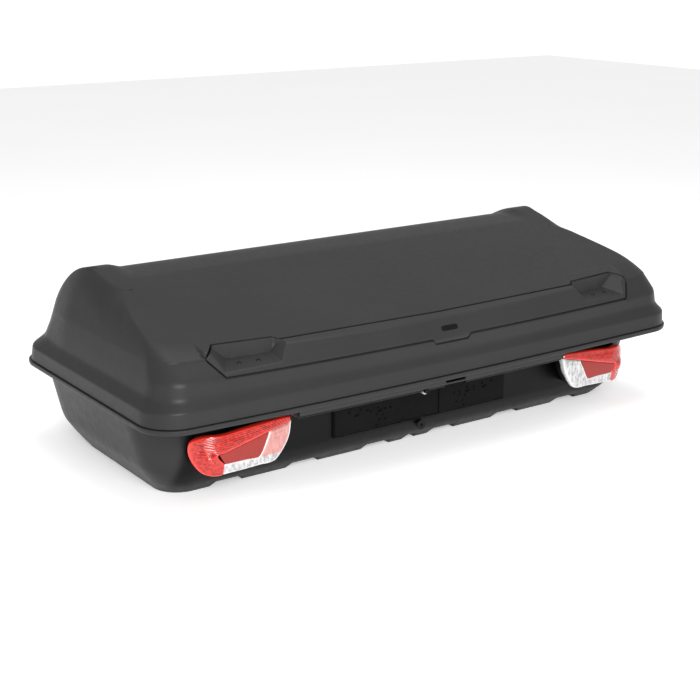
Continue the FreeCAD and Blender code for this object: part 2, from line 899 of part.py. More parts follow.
def strip_prism(grow, inside, outside):
    """The strip's outline, grown by a margin, pushed through the lid's front edge."""
    half = size.strip_half_length
    low = size.strip_low_bow
    rise = size.strip_top_rise
    notch = size.tongue_half_width
    right = [
        (half - 4, low),
        (half + size.strip_tip, low + 49),
        (half - 5, low + 81),
        (size.pocket_start + 12, low + 74),
        (size.pocket_start, rise + 6),
    ]
    corners = [on_strip(x, up, -inside) for x, up in right]
    corners_left = [on_strip(-x, up, -inside) for x, up in reversed(right)]
    top_middle = on_strip(0, rise, -inside)
    edges = [Part.LineSegment(start, end).toShape() for start, end in zip(corners, corners[1:])]
    edges.append(Part.Arc(corners[-1], top_middle, corners_left[0]).toShape())
    edges += [Part.LineSegment(start, end).toShape() for start, end in zip(corners_left, corners_left[1:])]
    edges.append(Part.Arc(corners_left[-1], on_strip(0, 0, -inside), corners[0]).toShape())
    wire = Part.Wire(edges)
    if grow:
        wire = wire.makeOffset2D(grow)
    body = Part.Face(wire).extrude(STRIP_OUT * (inside + outside))
    tongue = Part.makePolygon([
        on_strip(-notch - grow, 6, -inside),
        on_strip(-notch + 9 - grow, -8 - grow, -inside),
        on_strip(notch - 9 + grow, -8 - grow, -inside),
        on_strip(notch + grow, 6, -inside),
        on_strip(-notch - grow, 6, -inside),
    ])
    return body.fuse(Part.Face(tongue).extrude(STRIP_OUT * (inside + outside)))


def pocket_floor_height(x, y):
    """Height of a grip pocket's sloping floor."""
    level = size.brow_level + size.pocket_floor_rise - 2.2
    return level + 0.435 * (y + 300) - 0.122 * (abs(x) - 438)


def pocket_volume(side, grow):
    """The room of a grip pocket, or that room grown by the thickness of its walls."""
    start = size.pocket_start
    end = size.strip_half_length
    floor = [(start + 34, -296), (end - 29, -277), (end - 2, -322), (start + 23, -340)]
    mouth = [(start - 4, -272), (end - 8, -253), (end + 19, -356), (start - 15, -374)]
    spread = [(-1, 1), (1, 1), (1, -1), (-1, -1)]
    wires = []
    for corners, lift in ((floor, -grow), (mouth, 30)):
        points = []
        for (x, y), (dx, dy) in zip(corners, spread):
            x, y = x + grow * dx, y + grow * dy
            points.append(Vector(side * x, y, pocket_floor_height(x, y) + lift))
        wires.append(Part.makePolygon(points + points[:1]))
    return Part.makeLoft(wires, True, True)


def bracket_screw_places(side):
    """Centres of a strut bracket's screws on the lid's end wall."""
    wall_face = size.rim_half_width - size.neck_side_inset - 2
    half = size.bracket_screw_spacing / 2
    return [
        Vector(side * wall_face, size.strut_head_depth + step * half, size.strut_head_level) for step in (-1, 1)
    ]


lid_outside = lid_volume(0)
lid_inside = lid_volume(size.wall)
lid_deep = lid_volume(size.wall + size.strip_thickness)
backing_zone = strip_prism(10, 40, 40).cut(lid_deep)
lid_room = lid_inside.cut(backing_zone)
lid_skin = lid_outside.cut(lid_inside)
strip_layer = lid_skin.common(strip_prism(0, 40, 40))
groove_zone = strip_prism(size.strip_groove, 40, 40).cut(lid_inside)
pockets = [pocket_volume(side, 0) for side, _ in SIDES]
pocket_shells = [pocket_volume(side, size.pocket_wall) for side, _ in SIDES]
pocket_ways = [pocket_volume(side, size.pocket_wall + 0.6).common(strip_prism(0, 60, 40)) for side, _ in SIDES]
lid_shape = lid_outside.cut(lid_room).cut([groove_zone] + pocket_ways)
screw_ways = []
for side, _ in SIDES:
    for place in bracket_screw_places(side):
        screw_ways.append(bar(place - Vector(side * 20, 0, 0), Vector(side, 0, 0), size.pin_radius + 0.2, 40))
lid_shell = node("lid_shell", feature("LidShell", lid_shape.cut(screw_ways)))

strip_shape = strip_layer
for shell in pocket_shells:
    strip_shape = strip_shape.fuse(shell.common(lid_outside).common(strip_prism(0, 60, 40)))
strip_shape = strip_shape.cut(pockets)
face_run = size.crease_front_inset - size.crease_bow - size.brow_front_inset + size.brow_bow
FACE_UP = Vector(0, face_run, size.crease_level - size.brow_level)
FACE_UP.normalize()
FACE_OUT = Vector(0, -FACE_UP.z, FACE_UP.y)


def badge_block(depth, proud):
    """The badge's plate on the strip's front face, let in by a depth and standing proud of it."""
    half, low = size.badge_width / 2, 13
    high = low + size.badge_height
    corners = [(-half, low), (half, low), (half, high), (-half, high), (-half, low)]
    points = [STRIP_ORIGIN + Vector(x, 0, 0) + FACE_UP * up - FACE_OUT * depth for x, up in corners]
    return Part.Face(Part.makePolygon(points)).extrude(FACE_OUT * (depth + proud))


badge_seat = badge_block(size.badge_thickness / 2, 20)
badge_shape = badge_block(size.badge_thickness / 2, size.badge_thickness / 2)
trim_strip = node("trim_strip", feature("TrimStrip", strip_shape.cut(badge_seat)))
node("badge", feature("Badge", badge_shape))

pocket_screws = []
for side, _ in SIDES:
    for x, y in ((475, -308), (514, -304)):
        foot = Vector(side * x, y, pocket_floor_height(x, y))
        head = Part.makeCylinder(4, 2.2, foot, Vector(side * 0.122, -0.435, 1))
        pocket_screws.append(head)
node("trim_screws", feature("TrimScrews", Part.makeCompound(pocket_screws)))

# ---------------------------------------------------------------- hinges

HINGE_NAMES = ((-1, "left"), (0, "centre"), (1, "right"))
AXIS_DEPTH = "rim_rear + hinge_setback"
AXIS_LEVEL = "rim_level + parting_gap"
tub_screws = []
lid_screws = []
for step, place_name in HINGE_NAMES:
    middle = f"{step} * hinge_spacing"
    half = "hinge_width / 2"
    quarter = "hinge_width / 4"
    tag = place_name.capitalize()
    face = "rim_rear - bead_reach"
    leaf_low = "rim_level - bead_height - leaf_height"
    spacer = box(
        f"TubLeafSpacer{tag}",
        (f"{middle} - {half}", face, f"{leaf_low} + 8"),
        (f"{middle} + {half}", "rim_rear + 0.3", "rim_level - bead_height - 8"),
    )
    leaf = box(
        f"TubLeaf{tag}",
        (f"{middle} - {half}", "rim_rear + 0.3", leaf_low),
        (f"{middle} + {half}", "rim_rear + 0.3 + leaf_thickness", f"{AXIS_LEVEL} - knuckle_radius - 0.6"),
    )
    parts = [spacer, leaf]
    for end in (-1, 1):
        knuckle = rod(
            f"TubKnuckle{tag}{end + 1}",
            "x",
            (f"{middle} + {end} * {half} - ({quarter} - knuckle_gap) * {(1 + end) / 2}", AXIS_DEPTH, AXIS_LEVEL),
            "knuckle_radius",
            f"{quarter} - knuckle_gap",
        )
        neck = box(
            f"TubNeck{tag}{end + 1}",
            (f"{middle} + {end} * {half} - ({quarter} - knuckle_gap) * {(1 + end) / 2}", "rim_rear + 0.3",
             f"{AXIS_LEVEL} - knuckle_radius - 1"),
            (f"{middle} + {end} * {half} + ({quarter} - knuckle_gap) * {(1 - end) / 2}",
             "rim_rear + 0.3 + leaf_thickness", AXIS_LEVEL),
        )
        parts += [knuckle, neck]
    solid = fuse(f"TubHingeSolid{tag}", parts)
    bore = rod(
        f"TubHingeBore{tag}", "x", (f"{middle} - {half} - 1", AXIS_DEPTH, AXIS_LEVEL), "pin_radius", "hinge_width + 2"
    )
    node(f"tub_hinge_{place_name}", cut(f"TubHinge{tag}", solid, bore))
    pin = rod(f"HingePin{tag}", "x", (f"{middle} - {half}", AXIS_DEPTH, AXIS_LEVEL), "pin_radius", "hinge_width")
    node(f"hinge_pin_{place_name}", pin)
    lid_face = "rim_rear - lip_inset"
    lid_leaf = box(
        f"LidLeaf{tag}",
        (f"{middle} - {half}", lid_face, f"{AXIS_LEVEL} + knuckle_radius"),
        (f"{middle} + {half}", f"{lid_face} + leaf_thickness", f"{AXIS_LEVEL} + knuckle_radius + leaf_height"),
    )
    lid_neck = box(
        f"LidNeck{tag}",
        (f"{middle} - {quarter}", lid_face, f"{AXIS_LEVEL} + knuckle_radius - leaf_thickness"),
        (f"{middle} + {quarter}", AXIS_DEPTH, f"{AXIS_LEVEL} + knuckle_radius"),
    )
    lid_knuckle = rod(
        f"LidKnuckle{tag}", "x", (f"{middle} - {quarter}", AXIS_DEPTH, AXIS_LEVEL), "knuckle_radius", half
    )
    lid_bore = rod(
        f"LidHingeBore{tag}",
        "x",
        (f"{middle} - {half}", AXIS_DEPTH, AXIS_LEVEL),
        "pin_radius + pin_clearance",
        "hinge_width",
    )
    lid_solid = fuse(f"LidHingeSolid{tag}", [lid_leaf, lid_neck, lid_knuckle])
    node(f"lid_hinge_{place_name}", cut(f"LidHinge{tag}", lid_solid, lid_bore))
    for end in (-1, 1):
        x = f"{middle} + {end} * hinge_width / 3"
        tub_screws.append(
            rod(f"TubScrew{tag}{end + 1}", "y", (x, "rim_rear + 0.3 + leaf_thickness", f"{leaf_low} + 14"), 4, 2)
        )
        level = f"{AXIS_LEVEL} + knuckle_radius + leaf_height - 12"
        lid_screws.append(rod(f"LidScrew{tag}{end + 1}", "y", (x, f"{lid_face} + leaf_thickness", level), 4, 2))
node("tub_hinge_screws", group("TubHingeScrews", tub_screws))
node("lid_hinge_screws", group("LidHingeScrews", lid_screws))

# ---------------------------------------------------------------- gas struts

for side, side_name in SIDES:
    tag = side_name.capitalize()
    foot, head = strut_foot(side), strut_head(side)
    line = head - foot
    reach = line.Length
    along = Rotation(Vector(0, 0, 1), line)
    eye_half = size.strut_eye_thickness / 2
    pad_depth = 60
    outward = Vector(side, 0, 0)
    stud_base = bar(foot + outward * (eye_half + 6), outward, 15, pad_depth).common(tub_room)
    stud = bar(foot - outward * (eye_half + 2), outward, size.strut_rod_radius, eye_half * 2 + 12)
    cap = bar(foot - outward * (eye_half + 3.5), outward, size.strut_rod_radius + 2, 2.5)
    node(f"strut_stud_{side_name}", feature(f"StrutStud{tag}", stud_base.fuse([stud, cap])))

    def placed(shape, start):
        """A shape made along +Z, laid along the strut from its lower pivot."""
        shape.Placement = Placement(foot + line * (start / reach), along)
        return shape

    eye = bar(foot - outward * eye_half, outward, size.strut_eye_radius, size.strut_eye_thickness)
    tube_start = size.strut_eye_radius + 6
    tube_end = tube_start + size.strut_tube_length
    inner_radius = size.strut_tube_radius - size.strut_tube_wall
    tube = placed(Part.makeCylinder(size.strut_tube_radius, size.strut_tube_length), tube_start)
    hollow = placed(Part.makeCylinder(inner_radius, size.strut_tube_length - 22), tube_start + 10)
    guide = placed(Part.makeCylinder(size.strut_rod_radius + size.strut_clearance, 30), tube_end - 14)
    neck = placed(Part.makeCylinder(eye_half, tube_start), 0)
    pivot = bar(foot - outward * 20, outward, size.strut_rod_radius + size.strut_clearance, 40)
    cylinder = tube.cut([hollow, guide]).fuse([neck, eye]).cut(pivot)
    node(f"strut_cylinder_{side_name}", feature(f"StrutCylinder{tag}", cylinder))
    rod_start = tube_start + 13
    shaft = placed(Part.makeCylinder(size.strut_rod_radius, reach - rod_start - 4), rod_start)
    piston = placed(Part.makeCylinder(inner_radius - 0.3, 8), rod_start)
    head_eye = bar(head - outward * eye_half, outward, size.strut_eye_radius, size.strut_eye_thickness)
    head_bore = bar(head - outward * 20, outward, size.strut_rod_radius + size.strut_clearance, 40)
    node(f"strut_rod_{side_name}", feature(f"StrutRod{tag}", shaft.fuse([piston, head_eye]).cut(head_bore)))

    pad_low = head + outward * 12
    plate_block = Part.makeBox(60, 84, 26, Vector(0, head.y - 42, head.z - 13))
    plate_block.translate(Vector(pad_low.x if side > 0 else pad_low.x - 60, 0, 0))
    wall_side = lid_inside.common(plate_block)
    keep_back = size.rim_half_width - size.neck_side_inset - size.wall - 9
    spare = slab(-keep_back, keep_back, -500, 500, 0, 500)
    base = wall_side.cut(spare)
    stud = bar(
        head + outward * (eye_half + size.open_pivot_gap), outward, size.strut_rod_radius,
        keep_back - strut_plane() - eye_half - size.open_pivot_gap + 3,
    )
    holes = [
        bar(place - outward * 30, outward, size.pin_radius, 50) for place in bracket_screw_places(side)
    ]
    bracket = base.fuse(stud).cut(holes)
    node(f"strut_bracket_{side_name}", feature(f"StrutBracket{tag}", bracket))

screws = []
for side, _ in SIDES:
    outward = Vector(side, 0, 0)
    for place in bracket_screw_places(side):
        shank = bar(place - outward * 12, outward, size.pin_radius, 14)
        screws.append(shank.fuse(bar(place + outward * 1.5, outward, 5, 2.5)))
node("bracket_screws", feature("BracketScrews", Part.makeCompound(screws)))

# ---------------------------------------------------------------- lock and latch

front_face = size.rim_front - size.flange_inset + size.cover_thickness + size.rim_bow
lock_centre = Vector(size.lock_offset, 0, size.lock_level)
inward = Vector(0, 1, 0)
lock_front = lock_centre + Vector(0, -front_face, 0)
flange_inner = size.rim_front - size.land_width
sleeve_front = lock_centre + Vector(0, -front_face + size.cover_thickness + 1, 0)
sleeve_length = front_face - size.cover_thickness - flange_inner + 1
sleeve = bar(sleeve_front, inward, size.housing_radius, sleeve_length)
sleeve_bore = bar(lock_front, inward, size.barrel_radius + size.barrel_clearance, 80)
node("lock_housing", feature("LockHousing", sleeve.cut(sleeve_bore)))

crank_depth = size.rod_depth - size.rod_radius - 12
barrel_length = front_face + crank_depth
turn = math.radians(45)
crank_pin = lock_centre + Vector(-size.crank_radius * math.sin(turn), 0, size.crank_radius * math.cos(turn))
barrel = bar(lock_front, inward, size.barrel_radius, barrel_length)
keyway = slab(
    size.lock_offset - 0.6, size.lock_offset + 0.6, -front_face - 1, -front_face + 5,
    size.lock_level - 3.5, size.lock_level + 3.5,
)
arm = Part.makeBox(size.crank_radius, 4, 7, Vector(0, 0, -3.5))
arm.Placement = Placement(Vector(lock_centre.x, crank_depth, lock_centre.z), Rotation(Vector(0, 1, 0), -135))
crank = bar(Vector(lock_centre.x, crank_depth, lock_centre.z), inward, size.barrel_radius, 4).fuse([
    bar(Vector(crank_pin.x, crank_depth, crank_pin.z), inward, 4, 4),
    arm,
])
pin = bar(Vector(crank_pin.x, crank_depth, crank_pin.z), inward, size.crank_pin_radius, 9)
node("lock_barrel", feature("LockBarrel", barrel.cut(keyway).fuse([crank, pin])))

rod_start = Vector(-size.rod_half_length, size.rod_depth, size.rod_level)
long_rod = bar(rod_start, Vector(1, 0, 0), size.rod_radius, 2 * size.rod_half_length)
tab_front = crank_depth + 4 + 1
tab_half = 9
slot_half = size.crank_pin_radius + size.crank_slack
tab = slab(
    crank_pin.x - tab_half, crank_pin.x + tab_half, tab_front, size.rod_depth, size.rod_level - 12, size.rod_level + 6
)
tab_slot = slab(
    crank_pin.x - slot_half, crank_pin.x + slot_half, tab_front - 1, crank_depth + 10,
    crank_pin.z - slot_half - 1, size.lock_level + size.crank_radius + slot_half + 1,
)
pieces = [tab]
for side, _ in SIDES:
    x = side * size.bolt_position
    pieces.append(slab(x - 3, x + 3, size.rod_depth - 3, size.rod_depth + 3, size.rod_level, size.bolt_level + 4))
    pieces.append(bar(Vector(x, size.rod_depth, size.bolt_level), Vector(1, 0, 0), 3.5, size.bolt_length))
latch_shape = long_rod.fuse(pieces).cut(tab_slot)
node("latch_rod", feature("LatchRod", latch_shape))

guides = []
for centre in (-size.guide_spacing, size.guide_spacing, -size.bolt_position - 22, size.bolt_position - 22):
    block = slab(
        centre - 6, centre + 6, -size.rim_front, size.rod_depth + 8, size.rod_level - 9, size.rod_level + 9
    ).common(tub_room)
    way = bar(
        Vector(centre - 10, size.rod_depth, size.rod_level), Vector(1, 0, 0), size.rod_radius + 0.1, 20
    )
    guides.append(block.cut(way))
node("rod_guides", feature("RodGuides", Part.makeCompound(guides)))

for side, side_name in SIDES:
    x = side * size.bolt_position + size.bolt_length + size.bolt_gap
    ear = slab(x, x + 3, -size.rim_front, size.rod_depth + 10, size.bolt_level - 8, size.neck_level + 12)
    keeper = bar(Vector(x - 5, size.rod_depth, size.bolt_level), Vector(1, 0, 0), 4.3, 12)
    node(
        f"striker_{side_name}",
        feature(f"Striker{side_name.capitalize()}", ear.common(lid_inside).cut(keeper)),
    )

lever_front = flange_inner + size.lever_reach
paddle = slab(
    size.lever_left, size.lever_right, -lever_front, lever_axis().y,
    size.lever_level - size.lever_thickness, size.lever_level,
)
lever_width = size.lever_right - size.lever_left
hub = bar(lever_axis(), Vector(1, 0, 0), 3, lever_width)
hub_bore = bar(
    lever_axis() - Vector(1, 0, 0), Vector(1, 0, 0), LEVER_PIN_RADIUS + size.pin_clearance, lever_width + 2
)
node("release_lever", feature("ReleaseLever", paddle.fuse(hub).cut(hub_bore)))
lever_pin = bar(lever_axis() - Vector(LEVER_PIN_SEAT, 0, 0), Vector(1, 0, 0), LEVER_PIN_RADIUS, lever_pin_length())
node("lever_pin", feature("LeverPin", lever_pin))

# ---------------------------------------------------------------- mounting plates, gland and drains

for side, side_name in SIDES:
    centre = f"{side} * mount_half_width"
    slabs = box(
        f"MountPlateBlank{side_name.capitalize()}",
        (f"{centre} - mount_plate_width / 2", "-mount_plate_length / 2", "wall"),
        (f"{centre} + mount_plate_width / 2", "mount_plate_length / 2", "wall + mount_plate_thickness"),
    )
    holes = [
        rod(f"MountHole{side_name}{end + 1}", "z", (centre, f"{end} * mount_half_depth", 0), "mount_hole_radius", 20)
        for end in (-1, 1)
    ]
    both = group(f"MountHoles{side_name.capitalize()}", holes)
    node(f"mount_plate_{side_name}", cut(f"MountPlate{side_name.capitalize()}", slabs, both))

gland_front = Vector(0, -(size.rim_front - size.front_wall_inset) - GLAND_STANDOFF, gland_place().z)
gland_body = bar(gland_front, inward, GLAND_RADIUS, GLAND_LENGTH)
gland_collar = bar(gland_front, inward, GLAND_RADIUS + 3, GLAND_COLLAR)
cord_way = bar(gland_front - inward, inward, CORD_RADIUS, GLAND_LENGTH + 2)
node("cable_gland", feature("CableGland", gland_body.fuse(gland_collar).cut(cord_way)))

drains = []
for place in DRAIN_PLACES:
    plug = bar(place + Vector(0, 0, size.rib_height - 3), Vector(0, 0, 1), DRAIN_RADIUS, 3 + size.wall)
    rim = bar(place + Vector(0, 0, size.rib_height + size.wall), Vector(0, 0, 1), DRAIN_RADIUS + 3, 2)
    drains.append(plug.fuse(rim))
node("drain_plugs", feature("DrainPlugs", Part.makeCompound(drains)))


# ---------------------------------------------------------------- checking and writing


def faulty(item):
    """Whether a document object failed to compute."""
    return any(word in ("Invalid", "Error") for word in item.State)


doc.recompute()
failed = [item.Name for item in doc.Objects if faulty(item)]
if failed:
    raise ValueError(f"objects that failed: {failed}")
for label, item in NODES.items():
    if item.Shape.isNull() or not item.Shape.isValid():
        raise ValueError(f"{label}: its shape is not usable")
os.makedirs("parts", exist_ok=True)
for label, item in NODES.items():
    item.Shape.exportStep(f"parts/{label}.step")
print(f"{len(NODES)} nodes written")
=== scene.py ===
"""Looks of a platform cargo box: lid, trim strip with grip pockets, tub, rear lamps and fittings.

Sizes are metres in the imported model's frame: +X to the right and -Y to the front when the lamps
are faced, +Z up. Every new piece is a surface worked out on a grid, closed, with its faces outwards.
"""

import json
import logging
import math
from dataclasses import dataclass, field
from enum import Enum

import bmesh
import bpy
import numpy as np
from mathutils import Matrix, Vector


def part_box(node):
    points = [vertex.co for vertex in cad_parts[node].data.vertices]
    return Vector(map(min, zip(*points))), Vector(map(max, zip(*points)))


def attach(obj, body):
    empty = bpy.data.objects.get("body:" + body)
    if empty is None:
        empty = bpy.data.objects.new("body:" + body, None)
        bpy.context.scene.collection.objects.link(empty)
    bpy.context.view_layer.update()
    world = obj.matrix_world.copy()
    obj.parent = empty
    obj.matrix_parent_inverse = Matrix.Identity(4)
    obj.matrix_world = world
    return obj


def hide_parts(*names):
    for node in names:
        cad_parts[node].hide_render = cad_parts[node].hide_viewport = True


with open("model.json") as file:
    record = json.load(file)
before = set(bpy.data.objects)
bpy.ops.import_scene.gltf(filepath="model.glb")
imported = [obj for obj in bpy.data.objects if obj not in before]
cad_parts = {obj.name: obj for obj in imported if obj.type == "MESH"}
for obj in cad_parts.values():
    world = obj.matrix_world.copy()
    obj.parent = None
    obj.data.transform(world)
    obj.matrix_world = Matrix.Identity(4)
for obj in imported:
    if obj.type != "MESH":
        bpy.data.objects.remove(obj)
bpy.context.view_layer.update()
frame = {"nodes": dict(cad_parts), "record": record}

logging.basicConfig(level=logging.INFO, format="%(message)s")
log = logging.getLogger("cargo_box")
MM = 0.001
TAPER_START = 0.14
TAPER_LENGTH = 0.14
SIDES = {"left": -1.0, "right": 1.0}


class Body(Enum):
    """Moving bodies that new pieces ride on."""

    TUB = "tub"
    LID = "lid"


class Slot(Enum):
    """Material slots of the record."""

    LID = "lid_plastic"
    TRIM = "trim_plastic"
    TUB = "tub_plastic"
    BADGE = "badge_plastic"
    BLACK = "black_plastic"
    RUBBER = "rubber"
    RED = "red_lens"
    RETRO = "retro_red"
    CLEAR = "clear_lens"
    CHROME = "chrome"
    BULB = "bulb_glass"
    SCREWS = "black_screws"
    STRUT = "strut_paint"
    STEEL = "bright_steel"
    LOCK = "lock_metal"
    ZINC = "zinc_steel"


# ---------------------------------------------------------------- arithmetic on whole arrays


def smooth_step(value: np.ndarray, low: float, high: float) -> np.ndarray:
    """Rises from 0 at low to 1 at high as 3t^2 - 2t^3.

    Args:
        value: Where to work it out.
        low: Where the rise starts.
        high: Where it ends.

    Returns:
        The share of the rise, in the shape of value.
    """
    t = np.clip((value - low) / (high - low), 0.0, 1.0)
    return t * t * (3.0 - 2.0 * t)


def soft_min(a: np.ndarray, b: np.ndarray, width: float) -> np.ndarray:
    """The lesser of two surfaces with a rounded meeting: half of a + b - sqrt((a - b)^2 + width^2).

    Args:
        a: Heights of the first surface.
        b: Heights of the second surface.
        width: Height over which the meeting is rounded.

    Returns:
        The blended heights.
    """
    return 0.5 * (a + b - np.sqrt((a - b) ** 2 + width**2))


def soft_max(a: np.ndarray, b: np.ndarray, width: float) -> np.ndarray:
    """The greater of two surfaces, rounded as soft_min is."""
    return -soft_min(-a, -b, width)


def bent_line(at: np.ndarray, knots: np.ndarray, values: np.ndarray, radii: np.ndarray) -> np.ndarray:
    """A line of straight stretches whose bends are rounded by short parabolas.

    Each bend adds its change of slope times a ramp that is (t + r)^2 / 4r within r of the knot.

    Args:
        at: Where to work it out.
        knots: Places of the bends, with the two ends.
        values: The line's value at each knot.
        radii: Half-length of the rounding at each knot.

    Returns:
        The line's values in the shape of at.
    """
    slopes = np.diff(values) / np.diff(knots)
    result = values[0] + slopes[0] * (at - knots[0])
    for i in range(1, len(slopes)):
        t = at - knots[i]
        r = radii[i]
        ramp = np.where(np.abs(t) <= r, (t + r) ** 2 / (4.0 * r), np.maximum(t, 0.0))
        result = result + (slopes[i] - slopes[i - 1]) * ramp
    return result


def rounded_path(points: np.ndarray, radii: np.ndarray, step: float, bends: int = 5) -> np.ndarray:
    """A path of straight runs whose corners are replaced by quadratic curves.

    A corner's curve starts and ends one radius from it, so it is tangent to both runs.

    Args:
        points: Corners of the path, one row each, in any number of dimensions.
        radii: Radius at each corner; the ends' radii are not used.
        step: Longest stretch left undivided on a run.
        bends: Points on each corner's curve.

    Returns:
        The path's points, one row each.
    """
    points = np.asarray(points, dtype=float)
    rows = [points[:1]]
    for i in range(1, len(points)):
        start, end = rows[-1][-1], points[i]
        last = i == len(points) - 1
        back = end - points[i - 1]
        reach = 0.0 if last else min(radii[i], 0.45 * np.linalg.norm(back),
                                     0.45 * np.linalg.norm(points[i + 1] - end))
        turn_in = end - back / max(np.linalg.norm(back), 1e-9) * reach
        run = np.linalg.norm(turn_in - start)
        count = max(int(math.ceil(run / step)), 1)
        share = np.linspace(0.0, 1.0, count + 1)[1:, None]
        rows.append(start + (turn_in - start) * share)
        if reach > 0.0:
            onward = points[i + 1] - end
            turn_out = end + onward / np.linalg.norm(onward) * reach
            t = np.linspace(0.0, 1.0, bends + 1)[1:, None]
            rows.append((1 - t) ** 2 * turn_in + 2 * t * (1 - t) * end + t**2 * turn_out)
    return np.vstack(rows)


# ---------------------------------------------------------------- meshes


def grid_faces(rows: int, columns: int, close_rows: bool, close_columns: bool) -> np.ndarray:
    """Quads of a grid of points numbered row by row.

    Args:
        rows: Number of rows.
        columns: Number of columns.
        close_rows: Whether the last row joins the first.
        close_columns: Whether the last column joins the first.

    Returns:
        One row of four point numbers for each quad, facing along column step times row step.
    """
    r = np.arange(rows if close_rows else rows - 1)[:, None]
    c = np.arange(columns if close_columns else columns - 1)[None, :]
    next_r, next_c = (r + 1) % rows, (c + 1) % columns
    corners = [r * columns + c, r * columns + next_c, next_r * columns + next_c, next_r * columns + c]
    return np.stack([np.broadcast_to(k, (r.size, c.size)) for k in corners], axis=-1).reshape(-1, 4)


def make_mesh(name: str, parts: list, sharp: float = 35.0, fill: bool = True) -> bpy.types.Object:
    """One object from several grids, with doubled points merged and open rims filled.

    Args:
        name: Name of the piece.
        parts: Pairs of a point array (rows, columns, 3) and its faces.
        sharp: Angle in degrees past which an edge stays crisp.
        fill: Whether open rims are filled.

    Returns:
        The new object, at the origin.
    """
    points, faces, start = [], [], 0
    for grid, quads in parts:
        flat = grid.reshape(-1, 3)
        points.append(flat)
        faces.append(quads + start)
        start += len(flat)
    mesh = bpy.data.meshes.new(name)
    mesh.from_pydata(np.vstack(points).tolist(), [], np.vstack(faces).tolist())
    work = bmesh.new()
    work.from_mesh(mesh)
    bmesh.ops.remove_doubles(work, verts=work.verts, dist=1.2e-5)
    bmesh.ops.dissolve_degenerate(work, edges=work.edges, dist=1e-6)
    rims = [edge for edge in work.edges if edge.is_boundary]
    if rims and fill:
        bmesh.ops.holes_fill(work, edges=rims, sides=0)
    work.to_mesh(mesh)
    work.free()
    mesh.polygons.foreach_set("use_smooth", np.ones(len(mesh.polygons), dtype=bool))
    mesh.set_sharp_from_angle(angle=math.radians(sharp))
    mesh.update()
    piece = bpy.data.objects.new(name, mesh)
    bpy.context.scene.collection.objects.link(piece)
    return piece


def vertex_places(piece: bpy.types.Object) -> np.ndarray:
    """Places of a piece's vertices, as rows of X, Y and Z."""
    places = np.empty(len(piece.data.vertices) * 3, dtype=np.float32)
    piece.data.vertices.foreach_get("co", places)
    return places.reshape(-1, 3).T


def store_layer(piece: bpy.types.Object, name: str, values: np.ndarray) -> None:
    """Stores one value per vertex under a name that materials can read."""
    layer = piece.data.attributes.new(name, "FLOAT", "POINT")
    layer.data.foreach_set("value", values.astype(np.float32))


def settle(piece: bpy.types.Object, body: Body, slot: Slot, finish: bpy.types.Material, *nodes: str) -> None:
    """Gives a piece its body and finish, hides the nodes that it stands for, and reports it."""
    piece.data.materials.clear()
    piece.data.materials.append(finish)
    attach(piece, body.value)
    if nodes:
        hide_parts(*nodes)
    log.info("%s: %d faces, rides on %s", piece.name, len(piece.data.polygons), body.value)


# ---------------------------------------------------------------- finishes


